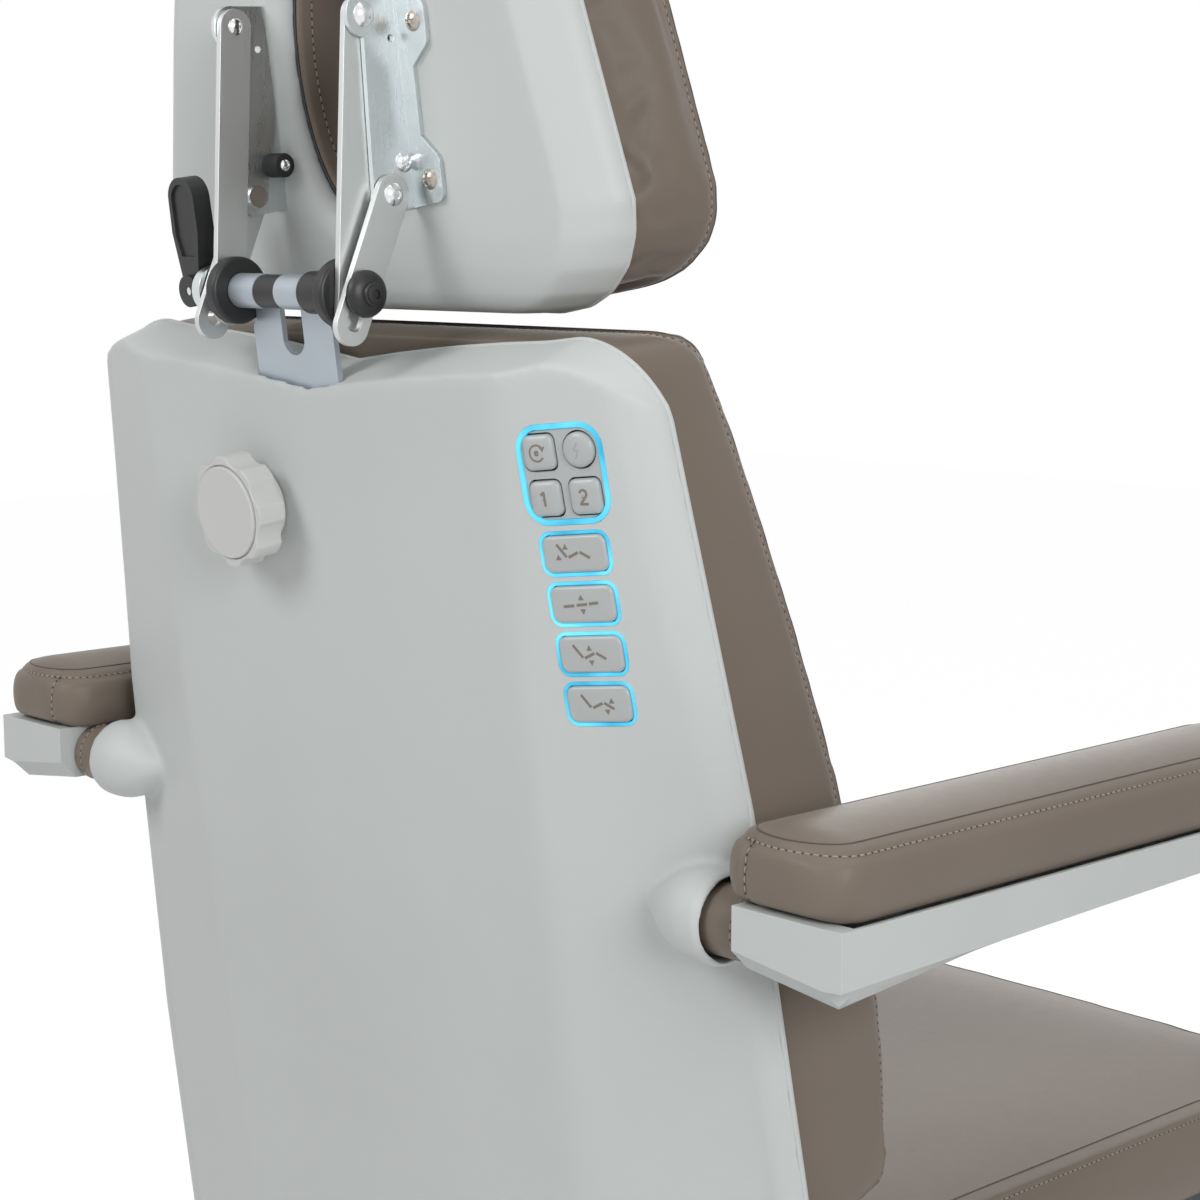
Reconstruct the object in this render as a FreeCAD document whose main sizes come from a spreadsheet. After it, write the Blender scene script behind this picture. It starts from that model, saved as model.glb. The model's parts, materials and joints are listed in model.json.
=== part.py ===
"""Electric procedure chair: lifting base, tilting seat, reclining back, leg rest, armrests and headrest.

Millimetres. +X is the sitter's left, the chair faces -Y, +Z is up and the feet stand on Z = 0.
"""
import FreeCAD, Part
import os
import re
import Sketcher
from FreeCAD import Placement, Rotation, Vector

DIMENSIONS = {
    # Datum: the two hinge axes, the tilt axis and the angles at rest
    "seat_height": 650, "hinge_drop": 95, "back_axis_y": 255, "leg_axis_y": -245,
    "tilt_axis_z": 462, "recline": 7.5, "leg_hang": 82,
    # Base
    "base_half_width": 250, "base_half_length": 345, "base_waist": 195, "plate_low": 16, "plate_thick": 10,
    "foot_x": 204, "foot_y": 300, "foot_radius": 32, "stem_radius": 6,
    "cover_half_width": 238, "cover_half_length": 338, "cover_top": 112, "cover_wall": 4,
    "column_half_width": 100, "column_half_depth": 80, "column_wall": 6, "column_top": 330,
    "inner_bottom": 90, "head_low": 400, "head_thick": 12, "slide_gap": 1, "shroud_low": 250,
    "cheek_low": 72, "cheek_high": 82, "tilt_pin_radius": 10, "running_gap": 0.05,
    "lift_tube_radius": 28, "lift_rod_radius": 17, "tilt_arm": 58, "tilt_half_range": 7.5,
    # Seat
    "seat_half_width": 300, "seat_rear": 2, "seat_front": 30, "cushion_low": 576, "pan_thick": 3,
    "flange_x": 236, "flange_thick": 6, "hinge_pin_radius": 8, "tub_low": 440, "tub_wall": 4,
    # Drives
    "drive_x": 150, "back_crank": 30, "back_rod_reach": 24.1, "leg_crank": 56, "leg_rod_reach": 46.1,
    "drive_tube_radius": 22, "drive_pin_radius": 4, "crank_play": 1.4, "leg_crank_play": 2.6,
    "rail_low": 92, "rail_high": 126, "back_half_sweep": 40, "leg_half_sweep": 41,
    # Back
    "tube_radius": 16, "shell_rear": 44, "shell_edge": 2, "shell_wall": 4, "crease_x": 166,
    "facet_turn": 15, "band_width": 20, "fold_radius": 70, "back_low": 100, "back_high": 597, "tail": -70,
    "roof_edge": 264, "roof_drop": 56, "roof_shoulder": 194, "roof_turn": 76, "arm_axis_y": 25,
    "arm_axis_z": 298.5,
    "boss_radius": 26, "boss_face": 288, "boss_root": 226, "boss_floor": 262, "boss_wall": 4,
    "shaft_radius": 8,
    # Control panel on the right facet
    "panel_along": 38, "panel_z": 530.5, "panel_lean": 4.2, "pad_ring": 27, "pad_ring_wide": 3,
    "key_half": 9.4, "key_pitch": 12.3, "bar_half_width": 19.7, "bar_half_height": 9.9, "bar_first": 42.4,
    "bar_pitch": 27.3, "bar_ring": 2, "key_gap": 0.4, "key_proud": 1.6, "key_depth": 6, "ring_depth": 2.4,
    "pivot_radius": 0.65, "pivot_depth": 3.4, "pivot_reach": 1.6,
    # Knob, neck and headrest linkage
    "knob_x": 54, "knob_z": 497, "knob_radius": 33, "knob_low": 45, "screw_radius": 5,
    "fork_x": 12, "fork_half_width": 37.5, "fork_low": 34.8, "fork_high": 38.3, "fork_bottom": 440,
    "neck_travel": 45,
    "shaft_y": 46.1, "shaft_z": 624, "neck_shaft_radius": 6, "upper_y": 20, "upper_z": 772,
    "lower_y": 17, "lower_z": 674.5, "arm_plate_x": 55.6, "arm_plate_thick": 4, "web_x": 60, "web_thick": 3,
    "link_x": 63.6, "link_thick": 4, "rivet_radius": 4, "flange_edge": 88, "screw_x": 78, "disc_x": 46,
    "collar_x": 76, "lever_x": 87, "nut_end": 80, "stub_radius": 3.2, "eye_radius": 10, "eye_end": 33.5,
    "notch_half": 10, "notch_depth": 38, "stop_y": 3.5, "stop_z": 691,
    # Headrest
    "head_rear": -4, "head_edge": -32, "head_front": -110, "head_low_z": 604, "head_high_z": 892,
    "face_z": 748, "face_half_width": 45, "face_half_height": 86, "lining": 5,
    # Armrests, measured from their own axis
    "pad_inner": 302, "pad_outer": 391, "pad_low": 20.5, "pad_side": 58.5, "pad_rear": 32, "pad_front": 394,
    "tray_inner": 316, "tray_outer": 390, "tray_top": 18.5, "tray_wall": 3, "tray_rear": 29,
    "roller_radius": 19.5, "roller_inner": 268, "bracket_eye": 11.5,
    # Leg rest, measured from its own axis
    "leg_start": 40, "leg_length": 462, "leg_cushion_low": 17, "leg_cushion_high": 88, "leg_shell_low": -25,
}

doc = FreeCAD.newDocument("procedure_chair")
dims = doc.addObject("Spreadsheet::Sheet", "dims")
for row, (alias, value) in enumerate(DIMENSIONS.items(), 1):
    dims.set(f"A{row}", alias)
    dims.set(f"B{row}", str(value))
    dims.setAlias(f"B{row}", alias)
doc.recompute()

ROUND = "(1 - sqrt(0.5))"
SIDES = (1, -1)
ALONG_X, ALONG_Y, ALONG_Z = Vector(1, 0, 0), Vector(0, 1, 0), Vector(0, 0, 1)
# How a pad's ends round off: distance from the end, draw-in of the sides and drop of the top
ENDS = (("0", "15", "22"), ("3", "8", "13"), ("9", "3", "5"), ("20", "0", "0"))
sub_parts = []


# Formulas, sketches and features

def bind(formula):
    """The formula with every size name pointing at the sheet."""
    return re.sub(r"\b[a-z][a-z_]*\b(?!\()", lambda word: "dims." + word.group(), formula)


def size(formula):
    """The formula's value in millimetres or degrees."""
    return float(dims.evalExpression(bind(formula)))


def body(label, placement):
    """A new sub-part."""
    owner = doc.addObject("PartDesign::Body", label)
    owner.Label = label
    owner.Placement = placement
    sub_parts.append(owner)
    return owner


def sketch_on(owner, plane, level="0", offset=None, turn=0.0):
    """An empty sketch, parallel to an origin plane at a level along its axis, or on an offset frame."""
    sketch = owner.newObject("Sketcher::SketchObject", "sketch")
    support = [part for part in owner.Origin.OriginFeatures if part.Role == plane + "_Plane"]
    sketch.AttachmentSupport = [(support[0], "")]
    sketch.MapMode = "FlatFace"
    if offset is None:
        sketch.AttachmentOffset = Placement(Vector(), Rotation(ALONG_Z, turn))
        sign = "-" if plane == "XZ" else ""
        sketch.setExpression("AttachmentOffset.Base.z", bind(f"{sign}({level})"))
    else:
        sketch.AttachmentOffset = offset
    return sketch


def circle_rules(sketch, x, y, radius):
    """Draw a circle and give the rules that size it, each with its formula."""
    centre = Vector(size(x), size(y), 0)
    edge = sketch.addGeometry(Part.Circle(centre, Vector(0, 0, 1), size(radius)))
    return point_rules(edge, 3, x, y) + [radius_rule(edge, radius)]


def point_rules(edge, point, x, y):
    """Dimensions of one point of an edge from the sketch's origin."""
    return [(Sketcher.Constraint("DistanceX", -1, 1, edge, point, size(x)), x),
            (Sketcher.Constraint("DistanceY", -1, 1, edge, point, size(y)), y)]


def radius_rule(edge, formula):
    """The dimension of an arc's or a circle's radius."""
    return Sketcher.Constraint("Radius", edge, size(formula)), formula


def outline_rules(sketch, corners):
    """Draw a closed outline. A corner (x, y, bulge) ends an arc that stands out to the right of its way."""
    places = [Vector(size(corner[0]), size(corner[1]), 0) for corner in corners]
    bulges = [size(corner[2]) if len(corner) == 3 else 0 for corner in corners]
    edges = []
    for index, bulge in enumerate(bulges):
        start, end = places[index - 1], places[index]
        if bulge == 0:
            edge = sketch.addGeometry(Part.LineSegment(start, end))
        else:
            along = (end - start).normalize()
            middle = (start + end) * 0.5 + Vector(along.y, -along.x, 0) * bulge
            edge = sketch.addGeometry(Part.ArcOfCircle(start, middle, end))
        edges.append((edge, 1, 2) if bulge >= 0 else (edge, 2, 1))
    rules = []
    for here, after in zip(edges, edges[1:] + edges[:1]):
        rules.append((Sketcher.Constraint("Coincident", here[0], here[2], after[0], after[1]), None))
    for index, (x, y, *bulge) in enumerate(corners):
        edge, _, last = edges[index]
        rules += point_rules(edge, last, x, y)
        if bulges[index] != 0:
            before = corners[index - 1]
            chord = f"((({x}) - ({before[0]}))^2 + (({y}) - ({before[1]}))^2)"
            rules.append(radius_rule(edge, f"({chord} / 4 + ({bulge[0]})^2) / (2 * abs({bulge[0]}))"))
    return rules


def draw(sketch, loops):
    """Draw loops, each a list of corners or a circle as (x, y, radius), and dimension them."""
    rules = []
    for loop in loops:
        rules += circle_rules(sketch, *loop) if isinstance(loop, tuple) else outline_rules(sketch, loop)
    sketch.addConstraint([rule for rule, _ in rules])
    for number, (_, formula) in enumerate(rules):
        if formula is not None:
            sketch.setExpression(f"Constraints[{number}]", bind(formula))


def rectangle(half_x, half_y, corner, x="0", y="0"):
    """The corners of a rounded rectangle."""
    bulge = f"({corner}) * {ROUND}"
    east, west = f"{x} + ({half_x})", f"{x} - ({half_x})"
    north, south = f"{y} + ({half_y})", f"{y} - ({half_y})"
    return [(f"{east} - ({corner})", south), (east, f"{south} + ({corner})", bulge),
            (east, f"{north} - ({corner})"), (f"{east} - ({corner})", north, bulge),
            (f"{west} + ({corner})", north), (west, f"{north} - ({corner})", bulge),
            (west, f"{south} + ({corner})"), (f"{west} + ({corner})", south, bulge)]


def mirrored(corners):
    """The same outline on the other side of the sketch's upright axis, still anticlockwise."""
    turned = []
    for index in range(len(corners) - 1, -1, -1):
        following = corners[(index + 1) % len(corners)]
        turned.append((f"-({corners[index][0]})", corners[index][1]) + tuple(following[2:]))
    return turned


def feature(owner, kind):
    """A new feature at the end of the sub-part."""
    return owner.newObject("PartDesign::" + kind, kind.lower())


def volume(owner):
    """The sub-part's volume so far."""
    doc.recompute()
    return owner.Shape.Volume


def slab(owner, plane, low, high, *loops, cut=False, turn=0.0):
    """Pad or pocket the loops from one level to a higher one, in a sketch turned about the plane's axis."""
    before = volume(owner) if cut else 0
    sketch = sketch_on(owner, plane, low, turn=turn)
    draw(sketch, loops)
    step = feature(owner, "Pocket" if cut else "Pad")
    step.Profile = sketch
    step.Reversed = cut != (plane == "XZ")
    step.setExpression("Length", bind(f"({high}) - ({low})"))
    if cut and volume(owner) > before - 0.1:
        raise RuntimeError(f"{owner.Label}: a pocket cuts nothing")
    return step


def loft(owner, plane, sections, cut=False, ruled=False):
    """Loft through outlines at levels along the plane's axis."""
    sketches = []
    for level, corners in sections:
        sketches.append(sketch_on(owner, plane, level))
        draw(sketches[-1], [corners])
    step = feature(owner, "SubtractiveLoft" if cut else "AdditiveLoft")
    step.Profile = sketches[0]
    step.Sections = sketches[1:]
    step.Ruled = ruled
    return step


def round_edges(owner, direction, radius, keep=lambda place: True):
    """Fillet the straight edges along a direction whose middle passes the test."""
    doc.recompute()
    names = []
    for number, edge in enumerate(owner.Tip.Shape.Edges, 1):
        straight = isinstance(edge.Curve, Part.Line)
        if straight and abs(edge.Curve.Direction.dot(direction)) > 0.999 and keep(edge.CenterOfMass):
            names.append(f"Edge{number}")
    fillet(owner, names, radius)


def round_circles(owner, radius, keep):
    """Fillet the round edges whose middle passes the test."""
    doc.recompute()
    names = [f"Edge{number}" for number, edge in enumerate(owner.Tip.Shape.Edges, 1)
             if isinstance(edge.Curve, Part.Circle) and keep(edge.CenterOfMass)]
    fillet(owner, names, radius)


def fillet(owner, names, radius):
    """Round the named edges of the sub-part as it is so far."""
    base = owner.Tip
    step = feature(owner, "Fillet")
    step.Base = (base, names)
    step.setExpression("Radius", bind(radius))


def span(side, near, far):
    """Low and high level of a stretch on one side of the middle plane."""
    return (near, far) if side > 0 else (f"-({far})", f"-({near})")


# Frames at rest

HINGE_Z = "seat_height - hinge_drop"
world = Placement()
back = Placement(Vector(0, size("back_axis_y"), size(HINGE_Z)), Rotation(ALONG_X, -size("recline")))
leg = Placement(Vector(0, size("leg_axis_y"), size(HINGE_Z)), Rotation(ALONG_X, size("leg_hang")))
arm = Placement(back.multVec(Vector(0, size("arm_axis_y"), size("arm_axis_z"))), Rotation())


def within(frame, y, z, turn=0.0):
    """A frame moved in its own middle plane and turned about X."""
    return frame.multiply(Placement(Vector(0, size(y), size(z)), Rotation(ALONG_X, turn)))


def panel_frame():
    """The control panel on the right facet: x across it, y up it, z out of it."""
    turn = size("facet_turn")
    facet = Rotation(ALONG_Z, 180 + turn).multiply(Rotation(ALONG_X, 90))
    along = facet.multVec(ALONG_X) * size("panel_along")
    start = Vector(-size("crease_x"), size("shell_rear"), size("panel_z")) + along
    return Placement(start, facet.multiply(Rotation(ALONG_Z, size("panel_lean"))))


panel = panel_frame()


# Base and lifting column

def base_frame():
    owner = body("base_frame", world)
    wide, waist, end = "base_half_width", "base_waist", "base_half_length"
    outline = [(wide, f"-{end}"), (wide, "-210"), (waist, "-120"), (waist, "120"), (wide, "210"), (wide, end),
               (f"-{wide}", end), (f"-{wide}", "210"), (f"-{waist}", "120"), (f"-{waist}", "-120"),
               (f"-{wide}", "-210"), (f"-{wide}", f"-{end}")]
    slab(owner, "XY", "plate_low", "plate_low + plate_thick", outline, *feet_circles("stem_radius + 0.2"))
    round_edges(owner, ALONG_Z, "28")


def feet_circles(radius):
    """One circle at each of the four feet."""
    return [(f"{x} * foot_x", f"{y} * foot_y", radius) for x in SIDES for y in SIDES]


def levelling_feet():
    owner = body("levelling_feet", world)
    slab(owner, "XY", "0", "8", *feet_circles("foot_radius"))
    slab(owner, "XY", "8", "plate_low", *feet_circles("foot_radius * 0.55"))
    slab(owner, "XY", "plate_low", "44", *feet_circles("stem_radius"))
    slab(owner, "XY", "plate_low + plate_thick", "35", *feet_circles("stem_radius + 4"))


def cover_section(level, half_x, half_y, inset):
    """One level of the base cover, drawn in by its wall where it is the inside."""
    return level, rectangle(f"{half_x} - {inset}", f"{half_y} - {inset}", f"60 - {inset}")


def base_cover():
    owner = body("base_cover", world)
    low, wide, end = "plate_low + plate_thick", "cover_half_width", "cover_half_length"
    shoulder = "cover_top - 48"
    loft(owner, "XY", [cover_section(low, wide, end, "0"),
                       cover_section(shoulder, f"{wide} - 10", f"{end} - 10", "0"),
                       cover_section("cover_top", "column_half_width + 40", "column_half_depth + 40", "0")],
         ruled=True)
    wall = "cover_wall"
    loft(owner, "XY", [cover_section(f"{low} - 1", wide, end, wall),
                       cover_section(f"{shoulder} - 2", f"{wide} - 10", f"{end} - 10", wall),
                       cover_section("cover_top - cover_wall", "column_half_width + 40",
                                     "column_half_depth + 40", wall)], cut=True, ruled=True)
    slab(owner, "XY", "cover_top - 20", "cover_top + 1",
         rectangle("column_half_width + 4", "column_half_depth + 4", "28"), cut=True)
    slab(owner, "XZ", "cover_half_length - 40", "cover_half_length + 5",
         rectangle("14.2", "12.2", "2", "0", "44"), cut=True)


def column_outer():
    owner = body("column_outer", world)
    low = "plate_low + plate_thick"
    outside = rectangle("column_half_width", "column_half_depth", "24")
    inside = rectangle("column_half_width - column_wall", "column_half_depth - column_wall", "18")
    slab(owner, "XY", low, "column_top", outside, inside)
    flange = rectangle("column_half_width + 22", "column_half_depth + 22", "30")
    bolts = [(f"{x} * (column_half_width + 10)", f"{y} * (column_half_depth - 20)", "4.5")
             for x in SIDES for y in SIDES]
    slab(owner, "XY", low, f"{low} + 10", flange, inside, *bolts)


def lift_motor():
    owner = body("lift_motor", world)
    low = "plate_low + plate_thick"
    slab(owner, "XY", low, f"{low} + 30", rectangle("58", "32", "14", "24"))
    slab(owner, "XY", f"{low} + 30", "column_top", ("0", "0", "lift_tube_radius"),
         ("0", "0", "lift_rod_radius + 0.3"))
    slab(owner, "XY", f"{low} + 30", "150", ("54", "0", "23"))


def control_box():
    owner = body("control_box", world)
    low = "plate_low + plate_thick"
    slab(owner, "XY", low, "70", rectangle("72", "44", "6", "0", "-196"))
    rib = slab(owner, "XY", "70", "74", rectangle("1.5", "40", "1", "-48", "-196"))
    row = feature(owner, "LinearPattern")
    row.Originals = [rib]
    row.Direction = (rib.Profile[0], ["H_Axis"])
    row.Length = 96
    row.Occurrences = 13
    owner.Tip = row


def power_inlet():
    owner = body("power_inlet", world)
    end = "cover_half_length + 3"
    slab(owner, "XZ", "cover_half_length - 34", end, rectangle("14", "12", "2", "0", "44"))
    slab(owner, "XZ", f"{end} - 16", f"{end} + 1", rectangle("11", "8", "3", "0", "44"), cut=True)
    pins = [rectangle("1", "2.5", "0.5", x, z) for x, z in (("0", "47"), ("-6", "41.5"), ("6", "41.5"))]
    slab(owner, "XZ", f"{end} - 16", f"{end} - 3", *pins)


def column_inner():
    owner = body("column_inner", world)
    wall = "column_wall + slide_gap"
    outside = rectangle(f"column_half_width - ({wall})", f"column_half_depth - ({wall})", "17")
    inside = rectangle(f"column_half_width - ({wall}) - 5", f"column_half_depth - ({wall}) - 5", "12")
    slab(owner, "XY", "inner_bottom", "head_low", outside, inside)
    top = "head_low + head_thick"
    slab(owner, "XY", "head_low", top, rectangle("column_half_width + 13", "column_half_depth + 13", "32"))
    cheek = [("-42", top), ("42", top), ("22", "tilt_axis_z + 22"), ("-22", "tilt_axis_z + 22")]
    bore = ("0", "tilt_axis_z", "tilt_pin_radius + running_gap")
    pin_y = "tilt_arm * sin(tilt_half_range)"
    pin_z = "tilt_axis_z + tilt_arm * cos(tilt_half_range)"
    lug = [("-26", top), ("26", top), (f"{pin_y} + 12", f"{pin_z} + 12"), (f"{pin_y} - 12", f"{pin_z} + 12")]
    for side in SIDES:
        slab(owner, "YZ", *span(side, "cheek_low", "cheek_high"), cheek, bore)
        slab(owner, "YZ", *span(side, "12", "20"), lug, bore, (pin_y, pin_z, "6.8"))
    round_edges(owner, ALONG_X, "10", lambda place: place.z > size("tilt_axis_z") + 15)


def lift_rod():
    owner = body("lift_rod", world)
    slab(owner, "XY", "70", "head_low", ("0", "0", "lift_rod_radius"))


def upper_shroud():
    owner = body("upper_shroud", world)
    slab(owner, "XY", "shroud_low", "head_low", rectangle("column_half_width + 13",
                                                          "column_half_depth + 13", "32"),
         rectangle("column_half_width + 10", "column_half_depth + 10", "29"))
    bead = rectangle("column_half_width + 15", "column_half_depth + 15", "34")
    slab(owner, "XY", "shroud_low", "shroud_low + 8", bead,
         rectangle("column_half_width + 10", "column_half_depth + 10", "29"))


# Seat

def seat_frame():
    owner = body("seat_frame", world)
    top = "cushion_low - 1"
    half = "flange_x + flange_thick"
    front, rear = "leg_axis_y + 24", "back_axis_y - 24"
    pan = [(half, front), (half, rear), (f"-({half})", rear), (f"-({half})", front)]
    slab(owner, "XY", f"{top} - pan_thick", top, pan)
    hinge = HINGE_Z
    side_plate = [("leg_axis_y - 16", f"{hinge} - 14"), ("leg_axis_y + 80", f"{hinge} - 14"),
                  ("leg_axis_y + 110", f"{hinge} - 32"), ("back_axis_y - 110", f"{hinge} - 32"),
                  ("back_axis_y - 80", f"{hinge} - 14"), ("back_axis_y + 16", f"{hinge} - 14"),
                  ("back_axis_y + 16", f"{hinge} + 14"), (rear, top), (front, top),
                  ("leg_axis_y - 16", f"{hinge} + 14")]
    eyes = [(axis, hinge, "hinge_pin_radius") for axis in ("back_axis_y", "leg_axis_y")]
    tilt_lug = [("-24", "tilt_axis_z - 20"), ("24", "tilt_axis_z - 20"), ("80", top), ("-80", top)]
    for side in SIDES:
        slab(owner, "YZ", *span(side, "flange_x", half), side_plate, *eyes)
        slab(owner, "YZ", *span(side, "cheek_high + 2", "cheek_high + 10"), tilt_lug,
             ("0", "tilt_axis_z", "tilt_pin_radius"))
    round_edges(owner, ALONG_X, "8", lambda place: place.z < size(hinge) + 16)


def hinge_pins():
    owner = body("hinge_pins", world)
    hinge = HINGE_Z
    outer = "flange_x + flange_thick"
    axes = ("back_axis_y", "leg_axis_y")
    for side in SIDES:
        slab(owner, "YZ", *span(side, "flange_x - 34", outer), *[(axis, hinge,
                                                                  "hinge_pin_radius") for axis in axes])
        slab(owner, "YZ", *span(side, outer, f"{outer} + 4"), *[(axis, hinge, "13") for axis in axes])
    slab(owner, "YZ", "-cheek_high - 14", "cheek_high + 14", ("0", "tilt_axis_z", "tilt_pin_radius"))


def seat_section(y, half, low, side, crown):
    """One cross-section of the seat pad: flat below, drawn-in sides, crowned top."""
    return y, [(f"{half} - 8", low), (half, f"({low} + {side}) / 2", "2"), (f"{half} - 6", side, "2"),
               (f"6 - ({half})", side, crown), (f"-({half})", f"({low} + {side}) / 2", "2"),
               (f"8 - ({half})", low, "2")]


def pad_ends(low, high):
    """Levels of a pad from its low end to its high end, with the draw-in and drop at each."""
    rising = [(f"{low} + {far}", inset, drop) for far, inset, drop in ENDS]
    falling = [(f"{high} - {far}", inset, drop) for far, inset, drop in reversed(ENDS)]
    return rising + falling


def seat_cushion():
    owner = body("seat_cushion", world)
    top = "seat_height - 8"
    levels = pad_ends("leg_axis_y - seat_front", "back_axis_y + seat_rear")
    loft(owner, "XZ", [seat_section(y, f"seat_half_width - {inset}", f"cushion_low + {drop} * 0.5",
                                    f"{top} - {drop}", "7") for y, inset, drop in levels], ruled=True)


def tub_section(level, half, inset):
    """One level of the seat's lower shell."""
    return level, rectangle(f"{half} - {inset}", f"{half} * 0.58 - {inset}", f"46 - {inset}", "0", "5")


def seat_shell():
    owner = body("seat_shell", world)
    rim, low = "cushion_low - 6", "tub_low"
    wall = "tub_wall"
    outside = ((low, "226"), (f"{low} + 6", "248"), (f"{low} + 20", "266"), (f"{low} + 44", "278"),
               (rim, "291"))
    inside = ((f"{low} + 4", "224"), (f"{low} + 10", "246"), (f"{low} + 23", "265"), (f"{low} + 45", "278"),
              (f"{rim} + 1", "291"))
    loft(owner, "XY", [tub_section(*level, "0") for level in outside], ruled=True)
    loft(owner, "XY", [tub_section(*level, wall) for level in inside], cut=True, ruled=True)
    slab(owner, "XY", f"{low} - 1", f"{low} + 6", rectangle("130", "120", "30"), cut=True)
    slab(owner, "XZ", "-260", "260", rectangle("276", "60", "20", "0", f"{low} + 96"), cut=True)


# Drives: a fixed housing, and a rod whose pin works a slotted crank

def drive_housing(owner, x, z, low, high, bore, motor_side):
    """A tube along Y with its gearbox, a motor beside it and a hanger up to the pan."""
    pan = "cushion_low - 1 - pan_thick"
    slab(owner, "XZ", low, high, (x, z, "drive_tube_radius"), (x, z, bore))
    slab(owner, "XZ", f"{low} - 22", low, rectangle("46", "24", "12", f"{x} + {motor_side} * 22", z))
    slab(owner, "XZ", low, f"{low} + 92", (f"{x} + {motor_side} * 46", z, "20"))
    slab(owner, "XZ", f"{low} - 22", f"{low} - 8", [(f"{x} - 14", z), (f"{x} + 14", z), (f"{x} + 22", pan),
                                                    (f"{x} - 22", pan)])


def tilt_actuator():
    owner = body("tilt_actuator", world)
    drive_housing(owner, "0", TILT_ROD_Z, "-142", "-46", "9.2", 1)


TILT_ROD_Z = "tilt_axis_z + tilt_arm * (1 + cos(tilt_half_range)) / 2"


def drive_rod(owner, x, z, low, pin_y, radius, eye_half, pin_half, pin_radius):
    """A rod along Y with an eye and a cross pin at its far end."""
    slab(owner, "XZ", *sorted_levels(low, f"{pin_y} - 12" if size(low) < size(pin_y) else f"{pin_y} + 12"),
         (x, z, radius))
    eye = [(f"{pin_y} - 13", f"{z} - 8"), (f"{pin_y} + 9", f"{z} - 8"), (f"{pin_y} + 9", f"{z} + 8"),
           (f"{pin_y} - 13", f"{z} + 8")]
    if size(low) > size(pin_y):
        eye = [(f"{pin_y} - 9", f"{z} - 8"), (f"{pin_y} + 13", f"{z} - 8"), (f"{pin_y} + 13", f"{z} + 8"),
               (f"{pin_y} - 9", f"{z} + 8")]
    slab(owner, "YZ", f"{x} - {eye_half}", f"{x} + {eye_half}", eye)
    slab(owner, "YZ", f"{x} - {pin_half}", f"{x} + {pin_half}", (pin_y, z, pin_radius))


def sorted_levels(one, other):
    """Two levels, the lower first."""
    return (one, other) if size(one) < size(other) else (other, one)


def tilt_rod():
    owner = body("tilt_rod", world)
    drive_rod(owner, "0", TILT_ROD_Z, "-124", "tilt_arm * sin(tilt_half_range)", "9", "10", "21", "6")


def back_actuator():
    owner = body("back_actuator", world)
    drive_housing(owner, "drive_x", f"{HINGE_Z} - back_crank", "-60", "148", "8.3", 1)


def back_rod():
    owner = body("back_rod", world)
    drive_rod(owner, "drive_x", f"{HINGE_Z} - back_crank", "30", "back_axis_y + back_rod_reach", "8", "8",
              "18", "drive_pin_radius")


def leg_actuator():
    owner = body("leg_actuator", Placement(Vector(0, 0, 0), Rotation(ALONG_Z, 180)))
    drive_housing(owner, "drive_x", f"{HINGE_Z} - leg_crank", "-70", "140", "8.3", 1)


def leg_rod():
    owner = body("leg_rod", Placement(Vector(0, 0, 0), Rotation(ALONG_Z, 180)))
    drive_rod(owner, "drive_x", f"{HINGE_Z} - leg_crank", "-30", "-leg_axis_y - leg_rod_reach", "8", "8",
              "18", "drive_pin_radius")


def crank_plates(owner, x, depth, half_sweep, play, turn):
    """Two slotted plates and their collar on the cross tube; the slot runs down before it is turned."""
    longest = f"{depth} / cos({half_sweep})"
    end = "drive_pin_radius + 5"
    plate = [(f"-({end})", f"-({longest})"), (end, f"-({longest})", f"({end}) * 0.8"), (end, "0"),
             (f"-({end})", "0")]
    slot = rectangle(f"drive_pin_radius + {play}", f"({longest} - {depth}) / 2 + drive_pin_radius + 0.6",
                     "drive_pin_radius", "0", f"-({longest} + {depth}) / 2")
    for near, far in ((f"{x} - 16", f"{x} - 10"), (f"{x} + 10", f"{x} + 16")):
        slab(owner, "YZ", near, far, plate, slot, turn=turn)
    slab(owner, "YZ", f"{x} - 20", f"{x} + 20", ("0", "0", "tube_radius + 4"))


def cross_tube(owner):
    """The hinge tube between the seat's side plates, bored at both ends for the hinge pins."""
    slab(owner, "YZ", "3 - flange_x", "flange_x - 3", ("0", "0", "tube_radius"))
    for side in SIDES:
        slab(owner, "YZ", *span(side, "flange_x - 36", "flange_x"), ("0", "0",
                                                                     "hinge_pin_radius + running_gap"),
             cut=True)


# Back

BACK_LEVELS = (("tail", "308"), ("110", "306"), ("350", "288"), ("back_high + 4", "247"))


def shell_section(level, edge, inset, front):
    """One level of the back shell: flat middle, soft folds to the turned facets, steep bands to the rim."""
    band = f"({edge} - band_width)"
    band_y = f"(shell_rear - ({band} - crease_x) * tan(facet_turn) - {inset})"
    reach = "fold_radius * tan(facet_turn / 2)"
    bulge = "fold_radius * (1 - cos(facet_turn / 2))"
    fold = f"crease_x + {reach} * cos(facet_turn)"
    fold_y = f"shell_rear - {inset} - {reach} * sin(facet_turn)"
    right = [(f"{edge} - {inset}", front), (f"{band} - {inset} * 0.8", band_y, f"3 - {inset} * 0.2"),
             (fold, fold_y),
             (f"crease_x - {reach}", f"shell_rear - {inset}", bulge)]
    return level, right + mirrored(right)


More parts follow.
